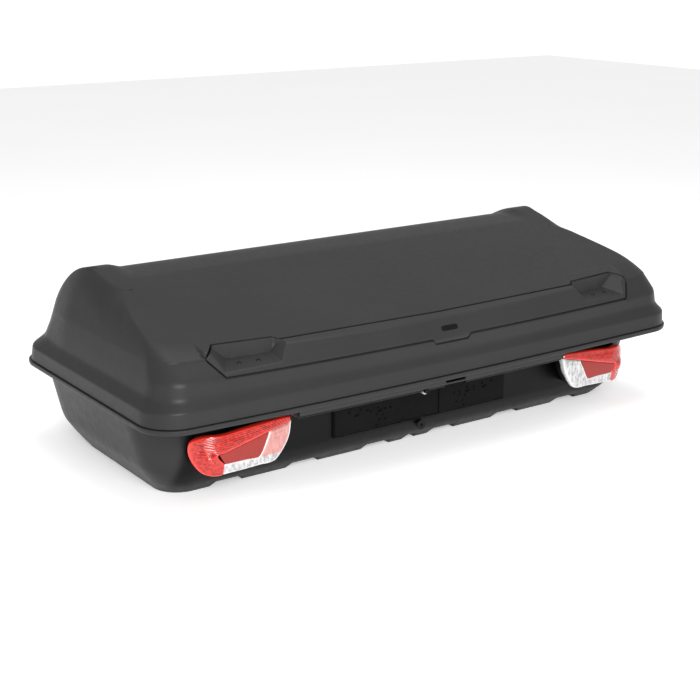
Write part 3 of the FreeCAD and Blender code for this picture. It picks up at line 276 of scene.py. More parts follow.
class Shader:
    """A node material around one Principled shader."""

    def __init__(self, name: str) -> None:
        """Starts an empty material with a Principled shader and its output."""
        self.material = bpy.data.materials.new(name)
        self.material.use_nodes = True
        self.nodes = self.material.node_tree.nodes
        self.links = self.material.node_tree.links
        self.base = self.nodes["Principled BSDF"]
        self.place = self.nodes.new("ShaderNodeTexCoord")

    def set(self, **values: object) -> None:
        """Sets sockets of the shader; an underscore stands for a space."""
        for name, value in values.items():
            self.base.inputs[name.replace("_", " ")].default_value = value

    def noise(self, scale: float, detail: float = 3.0, stretch: tuple = (1.0, 1.0, 1.0)) -> object:
        """Noise in the object's own space.

        Args:
            scale: Features per metre.
            detail: Octaves.
            stretch: Scale along each axis.

        Returns:
            The output socket of the noise's factor.
        """
        mapping = self.nodes.new("ShaderNodeMapping")
        mapping.inputs["Scale"].default_value = stretch
        self.links.new(self.place.outputs["Object"], mapping.inputs["Vector"])
        texture = self.nodes.new("ShaderNodeTexNoise")
        texture.inputs["Scale"].default_value = scale
        texture.inputs["Detail"].default_value = detail
        self.links.new(mapping.outputs["Vector"], texture.inputs["Vector"])
        return texture.outputs["Fac"]

    def cells(self, scale: float) -> object:
        """Distance to the nearest cell centre, in the object's own space."""
        texture = self.nodes.new("ShaderNodeTexVoronoi")
        texture.inputs["Scale"].default_value = scale
        self.links.new(self.place.outputs["Object"], texture.inputs["Vector"])
        return texture.outputs["Distance"]

    def blend(self, factor: object, low: float, high: float, dark: tuple, light: tuple) -> object:
        """A colour that goes from dark to light as a factor goes from low to high."""
        ramp = self.nodes.new("ShaderNodeValToRGB")
        ramp.color_ramp.elements[0].position = low
        ramp.color_ramp.elements[0].color = (*dark, 1.0)
        ramp.color_ramp.elements[1].position = high
        ramp.color_ramp.elements[1].color = (*light, 1.0)
        self.links.new(factor, ramp.inputs["Fac"])
        return ramp.outputs["Color"]

    def mixed(self, tone: object, layer: str, other: tuple) -> object:
        """Mixes a tone towards another colour where a vertex layer goes to 1.

        Args:
            tone: Colour source.
            layer: Name of the vertex layer.
            other: Colour where the layer is 1.

        Returns:
            The mixed colour's socket.
        """
        reader = self.nodes.new("ShaderNodeAttribute")
        reader.attribute_name = layer
        mix = self.nodes.new("ShaderNodeMixRGB")
        mix.inputs["Color2"].default_value = (*other, 1.0)
        self.links.new(reader.outputs["Fac"], mix.inputs["Fac"])
        self.links.new(tone, mix.inputs["Color1"])
        return mix.outputs["Color"]

    def spread(self, factor: object, low: float, high: float) -> object:
        """A factor between 0.3 and 0.7 stretched over a range of numbers."""
        node = self.nodes.new("ShaderNodeMapRange")
        node.inputs["From Min"].default_value = 0.3
        node.inputs["From Max"].default_value = 0.7
        node.inputs["To Min"].default_value = low
        node.inputs["To Max"].default_value = high
        self.links.new(factor, node.inputs["Value"])
        return node.outputs["Result"]

    def feed(self, socket: str, source: object) -> None:
        """Links a source to one of the shader's sockets."""
        self.links.new(source, self.base.inputs[socket])

    def relief(self, source: object, strength: float, depth: float) -> None:
        """Bump from a height source, stacked on any bump already there."""
        bump = self.nodes.new("ShaderNodeBump")
        bump.inputs["Strength"].default_value = strength
        bump.inputs["Distance"].default_value = depth
        self.links.new(source, bump.inputs["Height"])
        taken = self.base.inputs["Normal"].links
        if taken:
            self.links.new(taken[0].from_socket, bump.inputs["Normal"])
        self.links.new(bump.outputs["Normal"], self.base.inputs["Normal"])


@dataclass(frozen=True)
class MouldedPlastic:
    """Grained thermoplastic: two close tones in soft clouds, a fine spark-eroded grain, uneven gloss, and painted
    shade where a named vertex layer is set.
    """

    name: str
    dark: tuple
    light: tuple
    gloss: tuple = (0.42, 0.56)
    grain: float = 1500.0
    depth: float = 0.12 * MM
    strength: float = 0.25
    specular: float = 0.17
    # Name of a vertex layer where the tone is mixed to near-black as painted shade.
    recess: str = ""

    def make(self) -> bpy.types.Material:
        """Builds the material."""
        shader = Shader(self.name)
        shader.set(Specular_IOR_Level=self.specular)
        tone = shader.blend(shader.noise(7.0, 4.0), 0.3, 0.7, self.dark, self.light)
        if self.recess:
            # Painted shade: near-black where the layer is 1.
            tone = shader.mixed(tone, self.recess, grey(0.0010))
        shader.feed("Base Color", tone)
        shader.feed("Roughness", shader.spread(shader.noise(60.0, 3.0), *self.gloss))
        shader.relief(shader.noise(self.grain, 2.0), self.strength, self.depth)
        return shader.material


@dataclass(frozen=True)
class LensPlastic:
    """Clear or tinted acrylic with a fine optic pattern behind a glossy face."""

    name: str
    dark: tuple
    light: tuple
    transmission: float
    pattern: float
    relief: float = 0.35
    roughness: float = 0.1
    glow: float = 0.0
    coat: float = 0.5
    # Colour of a painted highlight along the lens's border, read from the vertex layer rim.
    rim: tuple = ()

    def make(self) -> bpy.types.Material:
        """Builds the material."""
        shader = Shader(self.name)
        shader.set(Roughness=self.roughness, IOR=1.49, Transmission_Weight=self.transmission)
        shader.set(Coat_Weight=self.coat, Coat_Roughness=0.04)
        tone = shader.blend(shader.noise(self.pattern, 4.0), 0.32, 0.68, self.dark, self.light)
        # Painted highlight: the tone goes to the rim colour near the border.
        if self.rim:
            tone = shader.mixed(tone, "rim", self.rim)
        shader.feed("Base Color", tone)
        if self.glow:
            shader.set(Emission_Strength=self.glow, Emission_Color=(*self.light, 1.0))
        shader.relief(shader.cells(self.pattern * 2.4), self.relief, 0.6 * MM)
        return shader.material


@dataclass(frozen=True)
class FluteLens:
    """Clear acrylic over a silvered tray, with vertical flutes and small prisms."""

    name: str
    dark: tuple
    light: tuple
    flutes: float = 260.0
    transmission: float = 0.15
    # Colour of a painted highlight along the lens's border.
    rim: tuple = (0.95, 0.95, 0.95)
    # Colour of painted red light showing through, where the vertex layer glow is 1.
    glow: tuple = (0.62, 0.16, 0.13)

    def make(self) -> bpy.types.Material:
        """Builds the material."""
        shader = Shader(self.name)
        shader.set(Roughness=0.16, IOR=1.49, Transmission_Weight=self.transmission, Metallic=0.15)
        shader.set(Coat_Weight=0.8, Coat_Roughness=0.05)
        tone = shader.blend(shader.noise(150.0, 4.0, (1.0, 1.0, 0.35)), 0.35, 0.6, self.dark, self.light)
        # Painted red light from the glow layer, then a painted highlight from the rim layer.
        tone = shader.mixed(shader.mixed(tone, "glow", self.glow), "rim", self.rim)
        shader.feed("Base Color", tone)
        wave = shader.nodes.new("ShaderNodeTexWave")
        wave.bands_direction = "X"
        wave.inputs["Scale"].default_value = self.flutes / 6.3
        shader.links.new(shader.place.outputs["Object"], wave.inputs["Vector"])
        shader.relief(wave.outputs["Fac"], 0.5, 0.8 * MM)
        return shader.material


@dataclass(frozen=True)
class WorkedMetal:
    """Plated, ground or metallised metal, with fine brushing and slight tarnish."""

    name: str
    dark: tuple
    light: tuple
    gloss: tuple = (0.22, 0.36)
    brush: tuple = (4.0, 60.0, 60.0)
    metallic: float = 1.0

    def make(self) -> bpy.types.Material:
        """Builds the material."""
        shader = Shader(self.name)
        shader.set(Metallic=self.metallic)
        shader.feed("Base Color", shader.blend(shader.noise(40.0, 4.0), 0.3, 0.7, self.dark, self.light))
        shader.feed("Roughness", shader.spread(shader.noise(25.0, 3.0, self.brush), *self.gloss))
        shader.relief(shader.noise(40.0, 2.0, self.brush), 0.12, 0.05 * MM)
        return shader.material


@dataclass(frozen=True)
class SoftRubber:
    """Matt rubber with a dusty bloom."""

    name: str
    dark: tuple
    light: tuple

    def make(self) -> bpy.types.Material:
        """Builds the material."""
        shader = Shader(self.name)
        shader.set(Specular_IOR_Level=0.3)
        shader.feed("Base Color", shader.blend(shader.noise(90.0, 5.0), 0.35, 0.7, self.dark, self.light))
        shader.feed("Roughness", shader.spread(shader.noise(200.0, 3.0), 0.72, 0.9))
        shader.relief(shader.noise(900.0, 2.0), 0.2, 0.1 * MM)
        return shader.material


def grey(level: float, tint: float = 0.0) -> tuple:
    """A near-neutral colour, a little blue where tint is above zero."""
    return (level, level * (1.0 + 0.3 * tint), level * (1.0 + tint))


FINISHES = {
    Slot.LID: MouldedPlastic("LidPlastic", grey(0.0235, 0.01), grey(0.0260, 0.01), (0.36, 0.42), 1500.0),
    Slot.TRIM: MouldedPlastic("TrimPlastic", grey(0.0270, 0.01), grey(0.0300, 0.01), (0.34, 0.42), 1700.0),
    # The tub's vertex layer named recess carries painted shade under the lid's front.
    Slot.TUB: MouldedPlastic("TubPlastic", grey(0.0240, 0.01), grey(0.0270, 0.01), (0.38, 0.46), 1300.0,
                             recess="recess"),
    Slot.BADGE: MouldedPlastic("BadgePlastic", grey(0.004), grey(0.006), (0.12, 0.2), 600.0, 0.02 * MM, 0.08),
    Slot.BLACK: MouldedPlastic("BlackPlastic", grey(0.0035), grey(0.0050), (0.5, 0.62), 1100.0,
                               specular=0.07),
    Slot.RUBBER: SoftRubber("Rubber", grey(0.005), grey(0.008)),
    # The red lens's rim colour is a painted highlight along its border.
    Slot.RED: LensPlastic("RedLens", (0.20, 0.001, 0.001), (0.66, 0.018, 0.008), 0.08, 150.0, glow=0.05,
                          rim=(0.95, 0.05, 0.03)),
    Slot.RETRO: LensPlastic("RetroPrisms", (0.25, 0.010, 0.007), (0.31, 0.016, 0.010), 0.0, 320.0, 0.4,
                            0.45, 0.0, coat=0.1),
    # The clear lens keeps the default painted highlight at its border and painted red light on the left lamp.
    Slot.CLEAR: FluteLens("ClearLens", grey(0.34, 0.01), grey(0.70, 0.0)),
    Slot.CHROME: WorkedMetal("MirrorFilm", grey(0.70), grey(0.86), (0.05, 0.12)),
    Slot.BULB: LensPlastic("BulbGlass", grey(0.80), grey(0.92), 0.6, 30.0, 0.05, 0.05),
    Slot.SCREWS: WorkedMetal("BlackZinc", grey(0.012), grey(0.022), (0.35, 0.5), (20.0, 20.0, 20.0), 0.6),
    Slot.STRUT: WorkedMetal("StrutPaint", grey(0.010), grey(0.016), (0.25, 0.38), (8.0, 8.0, 8.0), 0.0),
    Slot.STEEL: WorkedMetal("GroundSteel", grey(0.48), grey(0.60), (0.12, 0.22)),
    Slot.LOCK: WorkedMetal("LockNickel", grey(0.012), grey(0.022), (0.32, 0.45)),
    Slot.ZINC: WorkedMetal("ZincPlate", grey(0.36, 0.03), grey(0.52, 0.03), (0.28, 0.48), (30.0, 30.0, 30.0)),
}
finishes = {slot: kind.make() for slot, kind in FINISHES.items()}


# ---------------------------------------------------------------- plan outlines


@dataclass(frozen=True)
class PlanColumns:
    """Columns of a closed plan outline, counter-clockwise from its front left corner.

    Front and rear share fixed X places; past them a few columns stretch to where the corner starts.
    """

    fixed: np.ndarray
    stretch: int = 5
    corner: int = 12
    side: int = 30

    @property
    def limit(self) -> float:
        """Outermost fixed X place."""
        return float(self.fixed[-1])

    @property
    def front(self) -> int:
        """Number of columns along the front."""
        return len(self.fixed) + 2 * self.stretch

    @property
    def count(self) -> int:
        """Number of columns in all."""
        return 2 * self.front + 4 * self.corner + 2 * self.side

    def spine(self) -> np.ndarray:
        """The X place on the middle line that each column runs towards."""
        ends = [np.full(self.stretch, side * self.limit) for side in (-1.0, 1.0)]
        line = np.concatenate([ends[0], self.fixed, ends[1]])
        turn = np.full(2 * self.corner + self.side, self.limit)
        return np.concatenate([line, turn, line[::-1], -turn])

    def plan(self, half: np.ndarray, front: np.ndarray, bow: np.ndarray, rear: np.ndarray,
             corner: np.ndarray, back_corner: np.ndarray, taper: np.ndarray) -> tuple:
        """Plan places of every column.

        The front is y = -front - bow (1 - (x / start of corner)^2), corners are quarter circles,
        the rear is straight, and the ends draw in by taper towards the rear, from TAPER_START on.
        Where a rear corner reaches in past the fixed places, these close up to make room for it.

        Args:
            half: Half-widths, one row per level and one entry per column.
            front: Distance from the origin to the front's corners.
            bow: How far the middle of the front stands out.
            rear: Distance to the rear.
            corner: Radii of the front corners.
            back_corner: Radii of the rear corners.
            taper: How far the ends draw in at the rear.

        Returns:
            Arrays of X and of Y in the shape of half.
        """
        start = half - corner
        n, k, m = self.front, self.corner, self.side
        cuts = np.cumsum([0, n, k, m, k, n, k, m, k])
        spans = [slice(a, b) for a, b in zip(cuts[:-1], cuts[1:])]
        x, y = np.empty_like(half), np.empty_like(half)
        way = np.linspace(0.0, 1.0, self.stretch + 1)[1:]
        share = np.concatenate([way[::-1], np.zeros(len(self.fixed)), way])
        anchor = np.concatenate([np.full(self.stretch, -self.limit), self.fixed,
                                 np.full(self.stretch, self.limit)])
        angle = np.linspace(0.0, math.pi / 2, k + 2)[1:-1]
        rise = np.linspace(0.0, 1.0, m)

        def across(span: slice, order: int, reach: np.ndarray) -> np.ndarray:
            """Fixed places in the given order, then the stretch out to the reach."""
            held = np.minimum(self.limit, reach[:, span] - 0.003)
            kept = anchor[::order] * held / self.limit
            return kept + np.sign(anchor[::order]) * (reach[:, span] - held) * share[::order]

        x[:, spans[0]] = across(spans[0], 1, start)
        bend = 1 - (x[:, spans[0]] / start[:, spans[0]]) ** 2
        y[:, spans[0]] = -front[:, spans[0]] - bow[:, spans[0]] * bend
        y[:, spans[4]] = rear[:, spans[4]]
        back_start = half - back_corner
        x[:, spans[4]] = across(spans[4], -1, back_start)
        for span, sign, order in ((spans[2], 1.0, 1), (spans[6], -1.0, -1)):
            low = -front[:, span] + corner[:, span]
            high = rear[:, span] - back_corner[:, span]
            x[:, span] = sign * half[:, span]
            y[:, span] = low + (high - low) * rise[::order]
        for span, sign, order in ((spans[1], 1.0, 1), (spans[7], -1.0, -1)):
            turn = angle[::order]
            x[:, span] = sign * (start[:, span] + corner[:, span] * np.sin(turn))
            y[:, span] = -front[:, span] + corner[:, span] * (1 - np.cos(turn))
        for span, sign, order in ((spans[3], 1.0, 1), (spans[5], -1.0, -1)):
            turn = angle[::order]
            x[:, span] = sign * (back_start[:, span] + back_corner[:, span] * np.cos(turn))
            y[:, span] = rear[:, span] - back_corner[:, span] * (1 - np.sin(turn))
        share = np.clip((y - TAPER_START) / TAPER_LENGTH, 0.0, 1.0) ** 1.5
        return x - np.sign(x) * taper * share * np.clip(np.abs(x) / half, 0.0, 1.0) ** 6, y


def mirrored(places: list) -> np.ndarray:
    """Sorted places with their mirror images, each once."""
    both = np.concatenate([-np.asarray(places), np.asarray(places)])
    return np.unique(np.round(both, 6))


# ---------------------------------------------------------------- lid


@dataclass(frozen=True)
class LidSizes:
    """Sizes of the lid's outside."""

    level: tuple = (0.201, 0.232, 0.250, 0.284, 0.319, 0.449)
    rounding: tuple = (0.0, 0.0035, 0.008, 0.007, 0.0014, 0.0)
    half_width: tuple = (0.7250, 0.7225, 0.7065, 0.6990, 0.690, 0.644)
    front: tuple = (0.3415, 0.340, 0.325, 0.322, 0.289, 0.289)
    bow: tuple = (0.014, 0.014, 0.022, 0.027, 0.038, 0.038)
    rear: tuple = (0.3445, 0.344, 0.3435, 0.3435, 0.343, 0.343)
    corner: tuple = (0.080, 0.078, 0.070, 0.064, 0.055, 0.055)
    back_corner: tuple = (0.085, 0.086, 0.100, 0.110, 0.110, 0.100)
    taper: tuple = (0.0, 0.002, 0.012, 0.018, 0.022, 0.022)
    crease: float = 0.319
    brow_reach: float = 0.075
    shoulder_rounding: float = 0.052
    ridge_depth: float = 0.118
    ridge_level: float = 0.4335
    slope: float = 0.25
    saddle_start: float = 0.050
    saddle_slope: float = 0.13
    saddle_inner: float = 0.551
    saddle_outer: float = 0.593
    wall: float = 0.004


class LidForm:
    """The lid's outer surface as columns that run up the wall, round the shoulder and over the top."""

    def __init__(self, sizes: LidSizes, columns: PlanColumns) -> None:
        """Finds each column's shoulder, where the wall meets the top."""
        self.sizes = sizes
        self.columns = columns
        shape = (1, columns.count)
        level = np.full(shape, 0.33)
        for _ in range(12):
            x, y = self.wall_plan(level)
            level = self.height(x, y)
        corner = smooth_step(np.abs(x[0]), 0.586, 0.592) * (1.0 - smooth_step(y[0], -0.285, -0.06))
        plain = level[0]
        self.edge_level = plain - (plain - sizes.crease - 0.002) * corner
        self.drop = plain - self.edge_level
        x, y = self.wall_plan(self.edge_level[None])
        self.edge = np.stack([x[0], y[0]], axis=-1)
        self.crease = np.minimum(sizes.crease, self.edge_level - 0.0018)
        room = 0.92 * (self.edge_level - self.crease)
        strip = 0.0102 * (1.0 - smooth_step(np.abs(x[0]), 0.580, 0.588)) * (y[0] < 0)
        self.radius = np.clip(np.maximum(room, strip), 0.0016, sizes.shoulder_rounding)
        target = np.stack([columns.spine(), np.zeros(columns.count)], axis=-1)
        self.reach = np.linalg.norm(target - self.edge, axis=-1)
        self.heading = (target - self.edge) / self.reach[:, None]

    def wall_plan(self, level: np.ndarray) -> tuple:
        """Plan places of the wall's points at the given levels, one column per outline column."""
        s = self.sizes
        knots, radii = np.array(s.level), np.array(s.rounding)
        values = (s.half_width, s.front, s.bow, s.rear, s.corner, s.back_corner, s.taper)
        return self.columns.plan(*(bent_line(level, knots, np.array(v), radii) for v in values))

    def height(self, x: np.ndarray, y: np.ndarray) -> np.ndarray:
        """Height of the top: a front slope, a ridge, a back that falls as a parabola, a low saddle.

        The back is ridge - 0.15 e - 2.8 e^2 with e the depth past 132 mm. Between the two ears the
        top rises only at the saddle's slope, and its back starts 9 mm lower.

        Args:
            x: Places along the box.
            y: Depths.

        Returns:
            Heights in the shape of x.
        """
        s = self.sizes
        front = s.ridge_level + s.slope * (y - s.ridge_depth)
        past = y - (s.ridge_depth + 0.014)
        back = s.ridge_level - 0.15 * past - 2.8 * np.maximum(past, 0.0) ** 2
        ears = soft_min(front, back, 0.004)
        start_level = s.ridge_level + s.slope * (s.saddle_start - s.ridge_depth)
        low_front = soft_min(front, start_level + s.saddle_slope * (y - s.saddle_start), 0.0006)
        low_back = back - 0.009 * (1.0 - smooth_step(y, 0.15, 0.31))
        saddle = soft_min(low_front, low_back, 0.004)
        inside = 1.0 - smooth_step(np.abs(x), s.saddle_inner, s.saddle_outer)
        return ears + (saddle - ears) * inside

    def surface(self, run: np.ndarray) -> np.ndarray:
        """Points of the outside at a run along each column, measured from the shoulder.

        Below zero the run goes down the wall; above zero it goes in over the top, towards the
        spine. Within one radius of the shoulder the point lies on a quadratic curve.

        Args:
            run: Runs, one row per grid row and one entry per column.

        Returns:
            Points, with the shape of run and three coordinates.
        """
        r = self.radius[None, :]

        def on_wall(way: np.ndarray) -> np.ndarray:
            """Points down the wall."""
            level = self.edge_level[None, :] + way
            return np.stack([*self.wall_plan(level), level], axis=-1)

        def on_top(way: np.ndarray) -> np.ndarray:
            """Points in over the top."""
            plan = self.edge[None] + self.heading[None] * way[..., None]
            sunk = self.drop[None] * np.clip(1.0 - way / self.sizes.brow_reach, 0.0, 1.0) ** 2
            level = self.height(plan[..., 0], plan[..., 1]) - sunk
            return np.concatenate([plan, level[..., None]], axis=-1)

        wall, top = on_wall(np.minimum(run, 0.0)), on_top(np.maximum(run, 0.0))
        start, corner, end = on_wall(-r), on_wall(0.0 * r), on_top(r)
        t = np.clip((run + r) / (2 * r), 0.0, 1.0)[..., None]
        curve = (1 - t) ** 2 * start + 2 * t * (1 - t) * corner + t**2 * end
        plain = np.where(run[..., None] <= 0.0, wall, top)
        return np.where((np.abs(run) < r)[..., None], curve, plain)


@dataclass(frozen=True)
class StripSizes:
    """Sizes of the front trim strip and its grip pockets."""

    low_level: float = 0.284
    tongue_level: float = 0.274
    tongue_top: float = 0.054
    tongue_foot: float = 0.044
    flat_end: float = 0.558
    tip: float = 0.588
    gap: float = 0.0024
    thickness: float = 0.0045
    recess: float = 0.009
    upper_place: tuple = (0.0, 0.409, 0.421, 0.557)
    upper_depth: tuple = (-0.2975, -0.289, -0.276, -0.265)
    screw_places: tuple = ((0.470, -0.303), (0.512, -0.298))


INWARD = np.array([0.0, 0.65, -0.76])


class StripZone:
    """Where the trim strip lies on the lid: its two edges and the pockets sunk into it."""

    def __init__(self, form: LidForm, sizes: StripSizes) -> None:
        """Works out the strip's edges as runs along each front column."""
        self.form, self.sizes = form, sizes
        x, y = form.edge[:, 0], form.edge[:, 1]
        width = np.abs(x)
        self.inside = (width <= sizes.tip + 1e-6) & (y < -0.2)
        tongue = 1.0 - smooth_step(width, sizes.tongue_foot, sizes.tongue_top)
        level = sizes.low_level + (sizes.tongue_level - sizes.low_level) * tongue
        rise = np.clip((width - sizes.flat_end) / (sizes.tip - sizes.flat_end), 0.0, 1.0)
        level = level + (form.sizes.crease - sizes.low_level) * rise
        self.low = level - form.edge_level
        upper = np.interp(width, sizes.upper_place, sizes.upper_depth) - y
        tip_run = form.sizes.crease - form.edge_level
        fall = np.clip((width - sizes.upper_place[-1]) / (sizes.tip - sizes.upper_place[-1]), 0.0, 1.0)
        self.high = upper + (tip_run - upper) * fall
        lean = np.where(width > sizes.flat_end - 1e-6, 1.5, 1.0)
        self.gap = sizes.gap * lean
        self.fade = np.clip((sizes.tip - width) / 0.004, 0.0, 1.0)

    def pocket(self, x: np.ndarray, y: np.ndarray) -> np.ndarray:
        """Heights of the grip pockets' inside: the highest of a floor and three leaning walls.

        Args:
            x: Places along the box; both pockets come from the distance to the middle.
            y: Depths.

        Returns:
            Heights, far above the lid outside the pockets.
        """
        w = np.abs(x)
        floor = 0.306 - 0.03 * (w - 0.480) + 0.249 * (y + 0.2768)
        inner = 0.306 - 1.05 * (w - 0.431) + 0.30 * (y + 0.282)
        outer = 0.2925 + 0.78 * (w - 0.556) + 0.72 * (y + 0.3200)
        foot = -0.2820 + 0.105 * (w - 0.431)
        mouth = np.interp(w, self.sizes.upper_place, self.sizes.upper_depth) - 0.0036
        foot_level = 0.306 - 0.03 * (w - 0.480) + 0.249 * (foot + 0.2768)
        rise = (self.form.height(x, mouth) - foot_level) / np.maximum(mouth - foot, 0.003)
        back = foot_level + (y - foot) * rise
        inside = soft_max(soft_max(floor, inner, 0.0010), soft_max(outer, back, 0.0010), 0.0010)
        return np.where(w > 0.385, inside, 1.0)

    def carved(self, points: np.ndarray) -> np.ndarray:
        """The lid's surface with the grip pockets sunk into it."""
        result = points.copy()
        result[..., 2] = soft_min(points[..., 2], self.pocket(points[..., 0], points[..., 1]), 0.0009)
        return result


EDGE_ALONG = np.array([0.0, 0.0, 0.00012, 0.0005, 0.0012])
EDGE_DEPTH = np.array([1.0, 0.0013, 0.0006, 0.00015, 0.0])


class Lid:
    """The lid shell with the recess that the trim strip sits in."""

    def __init__(self, sizes: LidSizes, strip: StripSizes) -> None:
        """Chooses the columns so that the strip's corners and the saddle fall on them."""
        self.sizes, self.strip = sizes, strip
        even = np.arange(0.0, 0.400, 0.025)
        tongue = np.linspace(strip.tongue_foot, strip.tongue_top, 4)
        pocket = np.arange(0.402, 0.552, 0.006)
        marks = [0.409, 0.421, 0.557, 0.558, 0.565, 0.573, 0.580, 0.584, 0.586, 0.588]
        outside = [0.592, 0.598, 0.606]
        self.columns = PlanColumns(mirrored([*even, *tongue, *pocket, *marks, *outside]), 4, 14, 34)
        self.form = LidForm(sizes, self.columns)
        self.zone = StripZone(self.form, strip)

    def runs(self) -> tuple:
        """Runs that bound the strip's zone on every column.

        Returns:
            The low and the high run of the zone; off the strip they lie either side of the shoulder.
        """
        low = np.where(self.zone.inside, self.zone.low, self.form.crease - self.form.edge_level)
        high = np.where(self.zone.inside, self.zone.high, self.form.radius + 0.012)
        return low, high

    def outside(self) -> np.ndarray:
        """Rows of the outer surface, from the foot of the lip to the spine."""
        form, zone = self.form, self.zone
        low, high = self.runs()
        gap = np.where(zone.inside, zone.gap, 0.0)
        foot = np.concatenate([
            np.linspace(0.201, 0.227, 5), np.linspace(0.228, 0.236, 6), np.linspace(0.239, 0.258, 8)])
        rows = [form.surface(foot[:, None] - form.edge_level[None, :])]
        lower_lip = (low - gap)[None, :] - EDGE_ALONG[:0:-1, None] * zone.inside
        share = np.linspace(0.0, 1.0, 15)[1:-1, None]
        start = 0.258 - form.edge_level
        rows.append(form.surface(start + (lower_lip[0] - start) * share))
        sink = EDGE_DEPTH[:0:-1, None] * zone.fade * zone.inside
        rows.append(form.surface(lower_lip) + sink[..., None] * INWARD)
        r = form.radius
        knee_low = np.clip(-1.05 * r, low, high)
        knee_high = np.clip(1.05 * r, low, high)
        t = np.linspace(0.0, 1.0, 9)[:, None]
        middle = np.vstack([low + (knee_low - low) * t, knee_low + (knee_high - knee_low) * t[1:],
                            knee_high + (high - knee_high) * t[1::2]])
        outer_surface = form.surface(middle)
        floor = zone.carved(outer_surface) + self.strip.recess * INWARD
        depth = (zone.fade * zone.inside)[None, :, None]
        rows.append(outer_surface * (1.0 - depth) + floor * depth)
        upper_lip = (high + gap)[None, :] + EDGE_ALONG[1:, None] * zone.inside
        sink = EDGE_DEPTH[1:, None] * zone.fade * zone.inside
        rows.append(form.surface(upper_lip) + sink[..., None] * INWARD)
        last = upper_lip[-1]
        inwards = np.linspace(0.0, 1.0, 58)[1:, None]
        rows.append(form.surface(last + (form.reach - last) * inwards))
        return np.concatenate(rows)

    def inside(self) -> np.ndarray:
        """Rows of the inner surface, from the spine to the foot of the lip.

        Each is an outer row moved in by the wall: across on the wall, down on the top, and well
        behind the strip's recess on the strip's columns.
        """
        form, zone, wall = self.form, self.zone, self.sizes.wall
        low, high = self.runs()
        t = np.linspace(0.0, 1.0, 7)[:, None]
        foot = np.array([0.201, 0.212, 0.227, 0.233, 0.240, 0.252, 0.268])[:, None] - form.edge_level
        middle = low + (high - low) * t
        top = high + (form.reach - high) * np.linspace(0.0, 1.0, 16)[1:, None]
        across = np.concatenate([form.heading, np.zeros((self.columns.count, 1))], axis=-1)
        down = np.array([0.0, 0.0, -1.0])
        lean = t[..., None]
        foot_points = form.surface(np.minimum(foot, low - 0.002)) + across * wall
        middle_points = form.surface(middle) + (across * (1 - lean) + down * lean) * wall * 1.15
        strip_points = zone.carved(form.surface(middle)) + (self.strip.recess + wall) * INWARD
        mask = zone.inside[None, :, None]
        middle_points = np.where(mask, strip_points, middle_points)
        top_points = form.surface(top) + down * wall
        return np.concatenate([foot_points, middle_points, top_points])[::-1]

    def build(self) -> bpy.types.Object:
        """Makes the shell: inner rows, then outer rows, in one closed grid."""
        grid = np.concatenate([self.inside(), self.outside()])
        piece = make_mesh("lid_skin", [(grid, grid_faces(len(grid), self.columns.count, False, True))], 32.0)
        settle(piece, Body.LID, Slot.LID, finishes[Slot.LID], "lid_shell")
        return piece


class TrimStrip:
    """The front trim strip with its two grip pockets and the tongue under the badge."""

    def __init__(self, lid: LidSizes, sizes: StripSizes) -> None:
        """Sets columns close together over the pockets."""
        self.sizes = sizes
        even = np.arange(0.0, 0.398, 0.012)
        tongue = np.linspace(sizes.tongue_foot, sizes.tongue_top, 7)
        pocket = np.arange(0.400, 0.5825, 0.0015)
        tip = [0.409, 0.421, 0.557, 0.558, 0.584, 0.5852, 0.5862, 0.5868]
        places = mirrored([*even, *tongue, *pocket, *tip])
        self.columns = PlanColumns(places, 2, 3, 3)
        self.form = LidForm(lid, self.columns)
        self.zone = StripZone(self.form, sizes)
        self.span = slice(self.columns.stretch, self.columns.stretch + len(places))

    def build(self) -> bpy.types.Object:
        """Makes the strip as rings round its thickness that shrink to a line at both tips."""
        form, zone = self.form, self.zone
        low, high = zone.low + zone.gap, zone.high - zone.gap
        crossed = low > high
        middle = 0.5 * (low + high)
        low, high = np.where(crossed, middle, low), np.where(crossed, middle, high)
        half = 0.49 * (high - low)
        edge = np.minimum(EDGE_ALONG[:, None], half)
        depth = np.where(EDGE_DEPTH == 1.0, self.sizes.thickness, EDGE_DEPTH)[:, None, None] * INWARD
        lower = form.surface(low + edge) + depth
        upper = (form.surface(high - edge) + depth)[::-1]
        start, end = low + edge[-1], high - edge[-1]
        share = np.linspace(0.0, 1.0, 66)[1:-1, None]
        face = zone.carved(form.surface(start + (end - start) * share))
        back = zone.carved(form.surface(start + (end - start) * share[::-3])) + self.sizes.thickness * INWARD
        grid = np.concatenate([lower, face, upper, back])[:, self.span]
        faces = grid_faces(len(grid), grid.shape[1], True, False)
        piece = make_mesh("trim_strip_skin", [(grid, faces)], 40.0)
        settle(piece, Body.LID, Slot.TRIM, finishes[Slot.TRIM], "trim_strip")
        return piece


# ---------------------------------------------------------------- tub


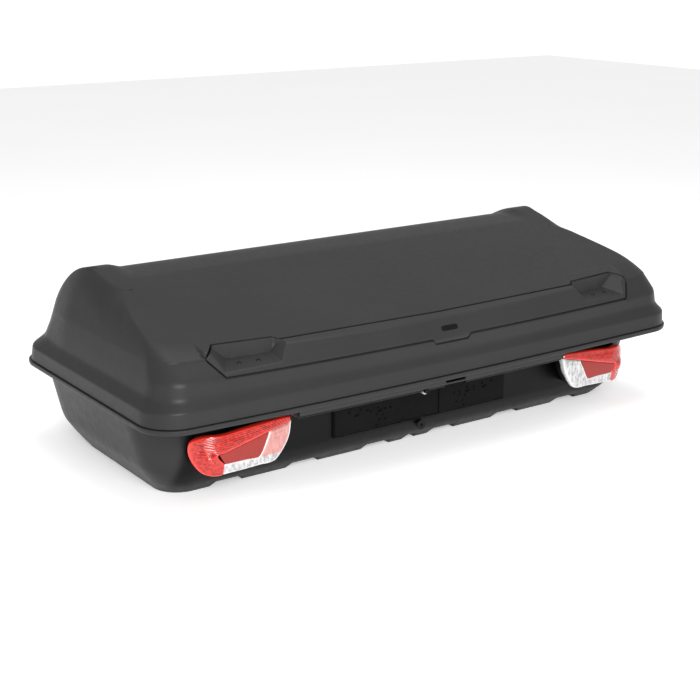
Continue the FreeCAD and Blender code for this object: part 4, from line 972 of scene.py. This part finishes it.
@dataclass(frozen=True)
class TubSizes:
    """Sizes of the tub. Each station is level, half-width, front, bow, rear and corner radius."""

    rib_height: float = 0.013
    rib_ramp: float = 0.008
    channels: tuple = ((-0.018, 0.018), (0.056, 0.136), (0.253, 0.338), (0.450, 0.530))
    wall: float = 0.004
    outer: tuple = (
        (0.000, 0.631, 0.190, 0.0, 0.277, 0.060),
        (0.030, 0.651, 0.222, 0.0, 0.319, 0.068),
        (0.065, 0.675, 0.240, 0.0, 0.340, 0.090),
        (0.166, 0.704, 0.240, 0.0, 0.337, 0.090),
        (0.1665, 0.7042, 0.250, 0.0, 0.337, 0.088),
        (0.1695, 0.7055, 0.333, 0.014, 0.337, 0.078),
        (0.1800, 0.7065, 0.3355, 0.014, 0.3385, 0.078),
        (0.1880, 0.7075, 0.338, 0.014, 0.341, 0.080),
        (0.1885, 0.7280, 0.3450, 0.014, 0.3475, 0.0835),
        (0.1925, 0.7295, 0.3465, 0.014, 0.349, 0.085),
        (0.199, 0.7295, 0.3465, 0.014, 0.349, 0.085),
        (0.199, 0.701, 0.322, 0.014, 0.325, 0.066),
        (0.174, 0.701, 0.322, 0.014, 0.325, 0.066),
        (0.170, 0.700, 0.236, 0.0, 0.325, 0.066),
        (0.065, 0.671, 0.236, 0.0, 0.336, 0.086),
        (0.038, 0.647, 0.218, 0.0, 0.315, 0.064),
        (0.017, 0.627, 0.186, 0.0, 0.273, 0.056),
    )
    rounding: tuple = (0.0, 0.022, 0.020, 0.004, 0.003, 0.003, 0.0, 0.0012, 0.0018, 0.0018, 0.0018, 0.0015,
                       0.003, 0.004, 0.014, 0.010, 0.0)
    alcove: tuple = (-0.018, 0.042, 0.1690, 0.1812, -0.3242)
    back_corner: float = 0.045
    housing: tuple = (-0.418, 0.348, 0.012)
    # Half-widths where the painted shade of the front recess fades out, and how softly.
    recess_shade_edge: tuple = (0.629, 0.605, 0.010)


class Tub:
    """The tub: ribbed floor, sloping ends, recessed front, and a flange with a bead under the lid."""

    def __init__(self, sizes: TubSizes) -> None:
        """Chooses columns at both edges of each rib and of the lever's alcove."""
        self.sizes = sizes
        marks = [0.0]
        for low, high in sizes.channels:
            marks += [abs(low), abs(high)]
            marks += list(np.linspace(low, low + sizes.rib_ramp, 4)) if low > 0 else []
            marks += list(np.linspace(high - sizes.rib_ramp, high, 4))
        even = np.arange(0.0, 0.545, 0.022)
        places = mirrored([*marks, *even, 0.0178, 0.0182, 0.0418, 0.0422])
        self.columns = PlanColumns(places, 6, 14, 30)

    def channel(self, x: np.ndarray) -> np.ndarray:
        """How far the underside is raised at each place: a trapezoid over every channel."""
        result = np.zeros_like(x)
        for low, high in self.sizes.channels:
            for a, b in ((low, high), (-high, -low)):
                room = np.minimum(x - a, b - x) / self.sizes.rib_ramp
                result = np.maximum(result, np.clip(room, 0.0, 1.0))
        return result * self.sizes.rib_height

    def ledge(self, x: np.ndarray, level: np.ndarray) -> np.ndarray:
        """Levels of the tub's rows, drawn up to the bead where there is no latch housing.

        Away from the housing the wall from 65 mm to 166 mm is stretched to 186.5 mm, and the rest
        up to 188 mm is squeezed into what is left. The bead itself stays.

        Args:
            x: Places along the box.
            level: Levels of the plain rows.

        Returns:
            Levels in the shape of x.
        """
        left, right, ramp = self.sizes.housing
        away = 1.0 - np.clip(np.minimum(x - left, right - x) / ramp, 0.0, 1.0)
        inner = np.arange(len(level))[:, None] > int(np.argmax(level[:, 0]))
        knots = np.array([0.0, 0.065, 0.166, 0.188, 0.199])
        outside = np.interp(level, knots, [0.0, 0.065, 0.1865, 0.188, 0.199])
        inside = np.interp(level, [0.0, 0.065, 0.170, 0.194, 0.199], [0.0, 0.065, 0.1895, 0.194, 0.199])
        return level + away * (np.where(inner, inside, outside) - level)

    def paint_recess_shade(self, piece: bpy.types.Object) -> None:
        """Stores painted shade: how far each vertex lies in the recess under the lid's front, which the tub's finish
        darkens to near-black.
        """
        x, y, z = vertex_places(piece)
        # Painted shade: 1 below the bead on the tub's front half, within a half-width that widens towards the floor.
        top, foot, soft = self.sizes.recess_shade_edge
        edge = foot + (top - foot) * np.clip((0.15 - z) / 0.10, 0.0, 1.0)
        dark = 1.0 - smooth_step(np.abs(x), edge - soft, edge + soft)
        dark = dark * (1.0 - smooth_step(y, -0.02, 0.10)) * (z < 0.1875)
        store_layer(piece, "recess", dark)

    def build(self) -> bpy.types.Object:
        """Makes the tub as one closed grid from the underside's spine over the bead to the floor's."""
        s = self.sizes
        stations = rounded_path(np.array(s.outer), np.array(s.rounding), 0.012, 6)
        wide = np.broadcast_to(stations[:, :, None], (*stations.shape, self.columns.count))
        back_corner = wide[:, 5] + s.back_corner * np.clip((0.1885 - wide[:, 0]) / 0.001, 0.0, 1.0)
        x, y = self.columns.plan(*(wide[:, i] for i in range(1, 6)), back_corner, np.zeros_like(back_corner))
        grid = np.stack([x, y, self.ledge(x, wide[:, 0])], axis=-1)
        left, right, bottom, top, back = s.alcove
        inside = (x > left - 1e-5) & (x < right + 1e-5) & (y < -0.3) & (grid[..., 2] > bottom)
        inside &= (grid[..., 2] < top) & (y < back)
        grid[..., 1] = np.where(inside, back, y)

        def spine_rows(row: np.ndarray) -> np.ndarray:
            """Rows from the spine out to the given row."""
            target = row.copy()
            target[:, 0] = np.clip(row[:, 0], -self.columns.limit, self.columns.limit)
            target[:, 1] = 0.02
            share = np.linspace(0.0, 1.0, 14)[:-1, None, None]
            return target + (row - target) * share

        under = np.concatenate([spine_rows(grid[0]), grid])
        top_row = len(under)
        grid = np.concatenate([under, spine_rows(grid[-1])[::-1]])
        lift = self.channel(grid[..., 0])
        half_way = int(np.argmax(stations[:, 0])) + 13
        rows = np.arange(len(grid))[:, None]
        floor = np.where(rows <= half_way, lift, lift + s.wall)
        deep = (rows > half_way) & (grid[..., 2] < s.wall + s.rib_height + 1e-4)
        grid[..., 2] = np.where(deep, floor, np.maximum(grid[..., 2], floor))
        log.info("tub rows: %d below the floor's spine", top_row)
        piece = make_mesh("tub_skin", [(grid, grid_faces(len(grid), self.columns.count, False, True))], 30.0)
        self.paint_recess_shade(piece)
        settle(piece, Body.TUB, Slot.TUB, finishes[Slot.TUB], "tub_shell")
        return piece


# ---------------------------------------------------------------- latch cover, badge and screws


@dataclass(frozen=True)
class LatchCover:
    """The moulded cover on the flange, a rounded bar that follows the bow, notched over the lever."""

    left: float = -0.400
    right: float = 0.330
    bottom: float = 0.1765
    top: float = 0.1880
    front: float = 0.3394
    bow: float = 0.014
    corner_start: float = 0.635
    thickness: float = 0.0058
    radius: float = 0.0018
    slot: tuple = (-0.020, 0.038, 0.1805)

    def build(self) -> bpy.types.Object:
        """Makes rings of a rounded rectangle along the bow and closes them at both ends."""
        corners = np.array([(0.0, 0.0), (self.thickness, 0.0), (self.thickness, 1.0), (0.0, 1.0), (0.0, 0.0)])
        scale = np.array([1.0, self.top - self.bottom])
        loop = corners * scale
        middle = 0.5 * (loop[0] + loop[1])
        ring = rounded_path(np.vstack([middle, loop[1:4], loop[0], middle]),
                            np.full(6, self.radius), 0.004, 4)[:-1]
        a, b, slot_top = self.slot
        places = np.unique(np.round(np.concatenate([
            np.arange(self.left, self.right, 0.02), [self.right, a, a + 0.0015, b - 0.0015, b]]), 6))
        front_y = -self.front - self.bow * (1 - (places / self.corner_start) ** 2)
        notch = np.clip(np.minimum(places - a, b - places) / 0.0015, 0.0, 1.0)
        height = 1.0 - notch * (self.top - slot_top) / (self.top - self.bottom)
        grid = np.empty((len(ring), len(places), 3))
        grid[..., 0] = places
        grid[..., 1] = front_y + ring[:, :1]
        grid[..., 2] = self.bottom + ring[:, 1:] * height
        piece = make_mesh("latch_cover_skin", [(grid, grid_faces(len(ring), len(places), True, False))], 35.0)
        settle(piece, Body.TUB, Slot.TRIM, finishes[Slot.TRIM], "latch_cover")
        return piece


@dataclass(frozen=True)
class Badge:
    """A plain plate on the strip's front face, with rounded corners and a raised rim."""

    half_width: float = 0.0225
    half_height: float = 0.0062
    centre: tuple = (0.0, -0.3372, 0.3018)
    lean: float = math.radians(58.0)
    proud: float = 0.0011
    power: float = 6.0

    def build(self) -> bpy.types.Object:
        """Makes rings |u|^p + |v|^p = 1 from the rim to the centre, front and back."""
        angle = np.linspace(0.0, 2 * math.pi, 73)[:-1]
        cos, sin = np.cos(angle), np.sin(angle)
        grow = (np.abs(cos) ** self.power + np.abs(sin) ** self.power) ** (-1.0 / self.power)
        rim = np.stack([cos * grow * self.half_width, sin * grow * self.half_height], axis=-1)
        inset = np.array([0.0, 0.0, 0.04, 0.10, 0.16, 0.19, 0.5, 1.0])
        out = np.array([-1.6, 0.5, 0.9, 1.0, 0.95, 0.72, 0.74, 0.76]) * self.proud
        flat = rim[None] * (1.0 - inset)[:, None, None]
        up = np.array([0.0, math.cos(self.lean), math.sin(self.lean)])
        outward = np.array([0.0, -math.sin(self.lean), math.cos(self.lean)])
        points = np.array(self.centre) + flat[..., :1] * np.array([1.0, 0.0, 0.0]) + flat[..., 1:] * up
        points = points + out[:, None, None] * outward
        faces = grid_faces(len(points), len(angle), False, True)
        piece = make_mesh("badge_plate", [(points, faces)], 30.0)
        settle(piece, Body.LID, Slot.BADGE, finishes[Slot.BADGE], "badge")
        return piece


def screw_head(centre: np.ndarray, axis: np.ndarray, radius: float, height: float) -> tuple:
    """A domed head with a six-sided socket, as a profile turned about its axis.

    Args:
        centre: Middle of the seat.
        axis: Direction out of the seat.
        radius: Outer radius.
        height: Height of the dome over the seat.

    Returns:
        The grid of points and its faces.
    """
    axis = axis / np.linalg.norm(axis)
    side = np.cross(axis, [0.3, 0.2, 0.9])
    side = side / np.linalg.norm(side)
    other = np.cross(axis, side)
    angle = np.linspace(0.0, 2 * math.pi, 49)[:-1]
    across = np.array([0.0, 1.0, 1.0, 0.94, 0.80, 0.62, 0.52, 0.48, 0.48, 0.0]) * radius
    up = np.array([-0.9, -0.9, 0.15, 0.55, 0.85, 0.98, 1.0, 0.92, -0.1, -0.1]) * height
    hexagon = np.cos(math.pi / 6) / np.cos((angle % (math.pi / 3)) - math.pi / 6)
    socket = np.array([0, 0, 0, 0, 0, 0, 0.6, 1, 1, 1])[:, None]
    reach = across[:, None] * (1.0 + socket * (hexagon[None] - 1.0))
    points = centre + reach[..., None] * (np.cos(angle)[:, None] * side + np.sin(angle)[:, None] * other)
    points = points + up[:, None, None] * axis
    return points, grid_faces(len(across), len(angle), False, True)


class Fasteners:
    """Heads of the screws that show on the lid, the hinges and the plate carrier."""

    def build(self, zone: StripZone) -> list:
        """Makes one piece for each group of screws.

        Args:
            zone: The strip's zone, whose pocket floors carry two screws each.

        Returns:
            The pieces.
        """
        pocket = []
        for sign in SIDES.values():
            for x, y in zone.sizes.screw_places:
                height = zone.pocket(np.array([x]), np.array([y]))[0]
                axis = np.array([sign * 0.03, -0.249, 1.0])
                pocket.append((np.array([sign * x, y, height]), axis, 0.0050, 0.0018))
        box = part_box("bracket_screws")
        ends = [(np.array([sign * (box[1][0] - 0.0035), y, 0.260]), np.array([sign, 0.0, 0.06]), 0.0062, 0.0034)
                for sign in SIDES.values() for y in (0.097, 0.153)]
        pieces = []
        groups = (("pocket_screw_heads", pocket, "trim_screws"), ("end_screw_heads", ends, "bracket_screws"))
        for name, heads, node in groups:
            piece = make_mesh(name, [screw_head(*head) for head in heads], 30.0)
            settle(piece, Body.LID, Slot.SCREWS, finishes[Slot.SCREWS], node)
            pieces.append(piece)
        return pieces


# ---------------------------------------------------------------- lamps


@dataclass(frozen=True)
class LampSizes:
    """Outlines of a lamp's face as distance from the middle of the box and level."""

    top: tuple = ((0.3900, 0.1600), (0.4070, 0.1605), (0.4300, 0.1598), (0.4684, 0.1580), (0.5100, 0.1548),
                  (0.5450, 0.1515), (0.5600, 0.1512), (0.5800, 0.1512), (0.5990, 0.1465), (0.6120, 0.1385),
                  (0.6160, 0.1270), (0.6150, 0.1130), (0.6110, 0.1000), (0.6040, 0.0860), (0.5940, 0.0735),
                  (0.5800, 0.0665), (0.5680, 0.0648), (0.5570, 0.0655))
    seam: tuple = ((0.3884, 0.1515), (0.4000, 0.1492), (0.4200, 0.1448), (0.4456, 0.1390), (0.4800, 0.1310),
                   (0.5200, 0.1215), (0.5500, 0.1143), (0.5640, 0.1108), (0.5660, 0.1080), (0.5620, 0.1000),
                   (0.5530, 0.0890), (0.5545, 0.0705))
    inner: tuple = ((0.3885, 0.1505), (0.3905, 0.1400), (0.3965, 0.1170), (0.4087, 0.0961), (0.4170, 0.0850),
                    (0.4232, 0.0778), (0.4290, 0.0725), (0.4351, 0.0706), (0.4680, 0.0700), (0.5100, 0.0685),
                    (0.5540, 0.0672))
    clear_seam: tuple = ((0.4430, 0.1385), (0.4450, 0.1335), (0.4520, 0.1190), (0.4600, 0.1040), (0.4660, 0.0930),
                         (0.4690, 0.0885), (0.4710, 0.0882), (0.4780, 0.0882), (0.5000, 0.0885), (0.5250, 0.0888),
                         (0.5520, 0.0890))
    retro_top: tuple = ((0.4460, 0.1378), (0.4490, 0.1372), (0.4800, 0.1300), (0.5100, 0.1230), (0.5400, 0.1158),
                        (0.5620, 0.1105))
    retro_low: tuple = ((0.4472, 0.1330), (0.4520, 0.1220), (0.4705, 0.0895), (0.5000, 0.0898), (0.5300, 0.0898),
                        (0.5508, 0.0900))
    face: float = 0.3000
    rim_depth: float = 0.014
    dome: tuple = (0.588, 0.104, 0.020, 0.006)
    wrap_start: float = 0.545
    wrap_depth: float = 0.034


def even_curve(corners: tuple, count: int) -> np.ndarray:
    """Evenly spaced points of a smooth curve through corners, by cubic Hermite pieces.

    Tangents are half the step between a corner's neighbours, so the curve keeps the corners' flow.

    Args:
        corners: Points that the curve passes.
        count: Number of points returned.

    Returns:
        Points, one row each.
    """
    p = np.array(corners)
    chord = np.concatenate([[0.0], np.cumsum(np.linalg.norm(np.diff(p, axis=0), axis=1))])
    slope = np.gradient(p, chord, axis=0)
    at = np.linspace(0.0, chord[-1], count)
    i = np.clip(np.searchsorted(chord, at, side="right") - 1, 0, len(p) - 2)
    h = (chord[i + 1] - chord[i])[:, None]
    t = ((at - chord[i]) / h[:, 0])[:, None]
    a, b = 2 * t**3 - 3 * t**2 + 1, t**3 - 2 * t**2 + t
    return a * p[i] + b * h * slope[i] + (1 - a) * p[i + 1] + (t**3 - t**2) * h * slope[i + 1]


class Lamp:
    """One rear lamp: a red lens that wraps the outer end, a clear L, a retro reflector, a housing."""

    def __init__(self, side: str, sizes: LampSizes) -> None:
        """Keeps the side's name and its sign in X."""
        self.side, self.sign, self.sizes = side, SIDES[side], sizes

    def depth(self, flat: np.ndarray) -> np.ndarray:
        """Y of the face: nearly flat, bowed 4 mm, falling back as a parabola past the wrap's start."""
        s = self.sizes
        x, z = flat[..., 0], flat[..., 1]
        past = np.maximum(x - s.wrap_start, 0.0) / 0.075
        bow = 0.004 * ((z - 0.115) / 0.05) ** 2 + 0.003 * ((x - 0.49) / 0.1) ** 2
        dome_x, dome_z, radius, height = s.dome
        apart = ((x - dome_x) ** 2 + (z - dome_z) ** 2) / radius**2
        return -s.face + bow + s.wrap_depth * past**2 - height * np.clip(1.0 - apart, 0.0, 1.0) ** 1.5

    def patch(self, name: str, outer: np.ndarray, seam: np.ndarray, rows: int, rise: float, rim: bool,
              ripple: float = 0.0) -> bpy.types.Object:
        """A lens between two curves, ruled across, with rounded seams and a thickness.

        Args:
            name: Name of the piece.
            outer: Points of the outer curve in the face's plane.
            seam: As many points of the other curve.
            rows: Rows across the face.
            rise: How far the middle stands out.
            rim: Whether the outer curve turns back into a side wall.
            ripple: Depth of the moulded waves along the lens.

        Returns:
            The piece.
        """
        share = np.linspace(0.0, 1.0, rows)[:, None]
        flat = outer[None] + (seam - outer)[None] * share[..., None]
        swell = rise * (1.0 - (2.0 * share - 1.0) ** 8)
        swell = swell + ripple * np.sin(np.arange(flat.shape[1]) * 1.1) * (4 * share * (1 - share))
        ends = np.minimum(np.arange(flat.shape[1]), np.arange(flat.shape[1])[::-1])
        swell = swell * np.clip(ends / 2.0, 0.0, 1.0)
        y = self.depth(flat) - swell
        if rim:
            backs = np.array([self.sizes.rim_depth, 0.010, 0.006, 0.003, 0.0010])[:, None]
            centre = np.array([0.505, 0.115])
            spread = 1.0 + np.array([0.0, 0.006, 0.010, 0.009, 0.004])[:, None, None]
            wall = centre + (flat[:1] - centre) * spread
            base = y[:1]
            flat = np.concatenate([wall, flat])
            y = np.concatenate([np.minimum(base + backs, -0.262), y])
        front = np.stack([self.sign * flat[..., 0], y, flat[..., 1]], axis=-1)
        centre = np.array([self.sign * 0.505, 0.0, 0.115])
        back = front + np.array([0.0, 0.0022, 0.0])
        inward = (centre - front) * np.array([1.0, 0.0, 1.0])
        back = back + inward / np.linalg.norm(inward, axis=-1, keepdims=True) * 0.0012
        grid = np.concatenate([front, back[::-1]])
        grid = grid[::-1] if self.sign < 0 else grid
        columns = grid.shape[1]
        piece = make_mesh(name, [(grid, grid_faces(len(grid), columns, True, False))], 40.0)
        outward_check(piece)
        self.store_painted_lens_light(piece, np.concatenate([outer, seam]))
        return piece

    def store_painted_lens_light(self, piece: bpy.types.Object, border: np.ndarray) -> None:
        """Stores painted light on a lens: a painted highlight near its border, and painted red light on the left
        lamp's lenses above about 88 mm.
        """
        x, _, z = vertex_places(piece)
        away = (np.abs(x)[:, None] - border[None, :, 0]) ** 2 + (z[:, None] - border[None, :, 1]) ** 2
        # Painted highlight: 1 at the lens's border, fading within a few millimetres.
        rim = np.exp(-away.min(axis=1) / 0.0022**2)
        # Painted red light: only on the left lamp, above about 88 mm.
        glow = 0.75 * smooth_step(z, 0.086, 0.090) if self.sign < 0 else np.zeros_like(z)
        store_layer(piece, "rim", rim)
        store_layer(piece, "glow", glow)

    def build(self) -> list:
        """Makes the lens patches, the retro reflector and the housing behind them."""
        s, label = self.sizes, f"lamp_{self.side}"
        red = self.patch(f"{label}_red_dome", even_curve(s.top, 240), even_curve(s.seam, 240), 30, 0.0016,
                         True, 0.0005)
        settle(red, Body.TUB, Slot.RED, finishes[Slot.RED], f"{label}_red_lens")
        clear = self.patch(f"{label}_clear_flutes", even_curve(s.inner, 90), even_curve(s.clear_seam, 90), 14, 0.0014,
                           True, 0.0004)
        settle(clear, Body.TUB, Slot.CLEAR, finishes[Slot.CLEAR], f"{label}_clear_lens")
        retro = self.patch(f"{label}_retro_prisms", even_curve(s.retro_top, 50), even_curve(s.retro_low, 50), 20, 0.0006,
                           False)
        settle(retro, Body.TUB, Slot.RETRO, finishes[Slot.RETRO], f"{label}_retro")
        housing = self.housing(np.concatenate([even_curve(s.top, 90), even_curve(s.inner, 60)[::-1][1:-1]]))
        settle(housing, Body.TUB, Slot.BLACK, finishes[Slot.BLACK], f"{label}_housing", f"{label}_reflector",
               f"{label}_bulbs")
        return [red, clear, retro, housing]

    def housing(self, outline: np.ndarray) -> bpy.types.Object:
        """A closed tray: rings of the outline drawn in a little, from its back to just under the face.

        Args:
            outline: Points round the face.

        Returns:
            The piece.
        """
        middle = np.array([0.500, 0.113])
        shrink = np.array([0.0, 0.5, 0.93, 0.965, 0.965, 0.94, 0.5, 0.0])[:, None, None]
        flat = middle + (outline[None] - middle) * shrink
        back = np.full(flat.shape[:2], -0.2604)
        face = np.minimum(self.depth(flat) + 0.0045, -0.262)
        y = np.where(np.arange(8)[:, None] < 3, back, face)
        y[3] = -0.2615
        grid = np.stack([self.sign * flat[..., 0], y, flat[..., 1]], axis=-1)
        piece = make_mesh(f"lamp_{self.side}_tray", [(grid, grid_faces(8, grid.shape[1], False, True))], 40.0)
        outward_check(piece)
        return piece


@dataclass(frozen=True)
class PlateHolder:
    """The number-plate carrier with two pads, each a slab whose face is a field of depths."""

    carrier: tuple = (-0.2460, 0.2460, 0.0650, 0.1500)
    pads: tuple = ((-0.2440, -0.0790, 0.0700, 0.1480), (0.0470, 0.2080, 0.0700, 0.1480))
    back: float = -0.2400
    carrier_face: float = -0.2452
    pad_face: float = -0.2484
    step: float = 0.0011
    holes: tuple = ((-206, 119), (-176, 121), (-157, 116), (-148, 110), (-129, 117), (-132, 102), (-108, 111),
                    (-94, 111), (-115, 98), (-124, 87), (-109, 87), (-133, 76), (90, 110), (107, 102), (107, 111),
                    (128, 117), (123, 99), (150, 116), (151, 108), (174, 119), (203, 120), (98, 87), (116, 87),
                    (119, 76))
    slots: tuple = ((-186, 110), (-123, 109), (131, 108), (181, 110))
    clips: tuple = (-215, -150, -57, 0, 61, 130, 205)
    groove_level: float = 0.0685
    clip_top: float = 0.0720
    pad_middle: float = 0.109

    def pits(self, x: np.ndarray, z: np.ndarray) -> np.ndarray:
        """Depths of the screw holes and slots: rounded pits with steep sides."""
        depth = np.zeros_like(x)
        for cx, cz in self.holes:
            apart = np.hypot(x - cx * MM, z - cz * MM)
            depth = np.maximum(depth, 1.0 - smooth_step(apart, 0.0018, 0.0030))
        for cx, cz in self.slots:
            apart = np.hypot(np.maximum(np.abs(x - cx * MM) - 0.004, 0.0), z - cz * MM - 0.2 * (x - cx * MM))
            depth = np.maximum(depth, 1.0 - smooth_step(apart, 0.0016, 0.0028))
        return 0.0030 * depth

    def slab(self, name: str, area: tuple, face: float, relief: object) -> bpy.types.Object:
        """A closed slab with rounded edges whose front is sunk by a relief.

        Args:
            name: Name of the piece.
            area: Lowest and highest X, then lowest and highest level.
            face: Y of the front.
            relief: Function of X and level that returns depths.

        Returns:
            The piece.
        """
        left, right, low, high = area
        columns = np.linspace(left, right, int((right - left) / self.step))
        rows = np.linspace(low, high, int((high - low) / self.step))
        x, z = np.meshgrid(columns, rows)
        rim = np.minimum(np.minimum(x - left, right - x), np.minimum(z - low, high - z))
        edge = 0.0008 * (1.0 - np.clip(rim / 0.0012, 0.0, 1.0)) ** 2
        front = np.stack([x, face + edge + relief(x, z), z], axis=-1)
        back = front.copy()
        back[..., 1] = self.back
        grid = np.concatenate([front, back[::-1]])
        piece = make_mesh(name, [(grid, grid_faces(len(grid), grid.shape[1], True, False))], 40.0)
        outward_check(piece)
        return piece

    def carrier_relief(self, x: np.ndarray, z: np.ndarray) -> np.ndarray:
        """Depths of the carrier's groove, with clips that stand out along its foot."""
        groove = 0.0016 * (np.abs(z - self.groove_level) < 0.0010)
        clip = np.min([np.abs(x - place * MM) for place in self.clips], axis=0)
        return np.where((clip < 0.006) & (z < self.clip_top), -0.0012, groove)

    def pad_relief(self, x: np.ndarray, z: np.ndarray) -> np.ndarray:
        """Depths of the pads' pits and of the fine line that runs round inside their edges."""
        beyond = np.abs(z - self.pad_middle) - 0.033
        lines = [np.maximum(np.abs(x - 0.5 * (a + b)) - 0.5 * (b - a) + 0.006, beyond)
                 for a, b, _, _ in self.pads]
        return self.pits(x, z) + 0.0006 * (np.abs(np.min(lines, axis=0)) < 0.0010)

    def build(self) -> list:
        """Makes the carrier with its groove and clips, then the two pads."""
        pieces = [self.slab("plate_carrier_frame", self.carrier, self.carrier_face, self.carrier_relief)]
        settle(pieces[0], Body.TUB, Slot.BLACK, finishes[Slot.BLACK], "plate_carrier", "carrier_screws")
        for side, area in zip(SIDES, self.pads):
            pad = self.slab(f"plate_pad_{side}_face", area, self.pad_face, self.pad_relief)
            settle(pad, Body.TUB, Slot.BLACK, finishes[Slot.BLACK], f"plate_pad_{side}")
            pieces.append(pad)
        return pieces


def outward_check(piece: bpy.types.Object) -> None:
    """Turns a closed piece's faces outwards."""
    work = bmesh.new()
    work.from_mesh(piece.data)
    bmesh.ops.recalc_face_normals(work, faces=work.faces)
    work.to_mesh(piece.data)
    work.free()


# ---------------------------------------------------------------- kept nodes, stage and camera


def dress_nodes() -> None:
    """Gives every CAD node that still shows the finish of its slot."""
    slots = {row["node"]: Slot(row["material_slot"]) for row in frame["record"]["subparts"]}
    for name, thing in frame["nodes"].items():
        finish = finishes[slots[name]]
        if not thing.material_slots:
            thing.data.materials.append(finish)
        for entry in thing.material_slots:
            entry.material = finish
        log.info("%s: keeps its shape, finish %s", name, finish.name)


@dataclass(frozen=True)
class Studio:
    """A pale floor, soft lights and the camera."""

    camera_place: tuple = (-1.858, -2.619, 1.118)
    yaw: float = math.radians(34.89)
    pitch: float = math.radians(16.48)
    lens: float = 71.217
    floor_half: float = 8.0
    sky: float = 0.55
    backdrop: float = 1.05

    def floor(self) -> None:
        """Lays a square floor whose edge is far off, with a pale matt finish."""
        x = np.linspace(-self.floor_half, self.floor_half, 5)
        grid = np.stack([*np.meshgrid(x, x), np.full((5, 5), -0.0005)], axis=-1)
        piece = make_mesh("studio_floor", [(grid, grid_faces(5, 5, False, False))], fill=False)
        shader = Shader("PaleFloor")
        shader.set(Roughness=0.9, Emission_Color=(1.0, 1.0, 1.0, 1.0), Emission_Strength=0.36)
        shader.feed("Base Color", shader.blend(shader.noise(1.5), 0.3, 0.7, (0.93, 0.93, 0.93), (0.95, 0.95, 0.95)))
        piece.data.materials.append(shader.material)

    def light(self, name: str, place: tuple, aim: tuple, size: float, power: float) -> None:
        """Hangs a square soft light at a place, turned to a point."""
        lamp = bpy.data.lights.new(name, "AREA")
        lamp.size = size
        lamp.energy = power
        thing = bpy.data.objects.new(name, lamp)
        thing.location = place
        thing.rotation_euler = (Vector(aim) - Vector(place)).to_track_quat("-Z", "Y").to_euler()
        bpy.context.scene.collection.objects.link(thing)

    def camera(self) -> None:
        """Sets the camera by its yaw from +Y and its pitch below the level."""
        data = bpy.data.cameras.new("Camera")
        data.lens = self.lens
        data.sensor_width = 36.0
        data.clip_end = 60.0
        thing = bpy.data.objects.new("Camera", data)
        thing.location = self.camera_place
        flat = math.cos(self.pitch)
        forward = Vector((math.sin(self.yaw) * flat, math.cos(self.yaw) * flat, -math.sin(self.pitch)))
        thing.rotation_euler = forward.to_track_quat("-Z", "Y").to_euler()
        bpy.context.scene.collection.objects.link(thing)
        bpy.context.scene.camera = thing

    def build(self) -> None:
        """Makes the stage, the lights, the pale surroundings and the camera."""
        self.floor()
        self.light("key", (-1.4, -3.2, 1.5), (0.0, 0.0, 0.2), 1.5, 104.0)
        self.light("top", (0.2, -0.2, 3.2), (0.0, 0.0, 0.3), 2.2, 40.0)
        self.light("side", (-3.2, -0.6, 0.9), (-0.6, 0.0, 0.1), 1.2, 4.0)
        world = bpy.data.worlds.new("Pale")
        world.use_nodes = True
        world.node_tree.nodes["Background"].inputs["Color"].default_value = (1.0, 1.0, 1.0, 1.0)
        tree = world.node_tree
        path = tree.nodes.new("ShaderNodeLightPath")
        level = tree.nodes.new("ShaderNodeMapRange")
        level.inputs["To Min"].default_value = self.sky
        level.inputs["To Max"].default_value = self.backdrop
        tree.links.new(path.outputs["Is Camera Ray"], level.inputs["Value"])
        tree.links.new(level.outputs["Result"], tree.nodes["Background"].inputs["Strength"])
        scene = bpy.context.scene
        scene.world = world
        scene.view_settings.view_transform = "Standard"
        self.camera()


def main() -> None:
    """Builds every sub-assembly in order, then the stage."""
    lid_sizes, strip_sizes = LidSizes(), StripSizes()
    dress_nodes()
    lid = Lid(lid_sizes, strip_sizes)
    lid.build()
    TrimStrip(lid_sizes, strip_sizes).build()
    Tub(TubSizes()).build()
    LatchCover().build()
    Badge().build()
    Fasteners().build(lid.zone)
    for side in SIDES:
        Lamp(side, LampSizes()).build()
    PlateHolder().build()
    Studio().build()


if __name__ == "__main__":
    main()
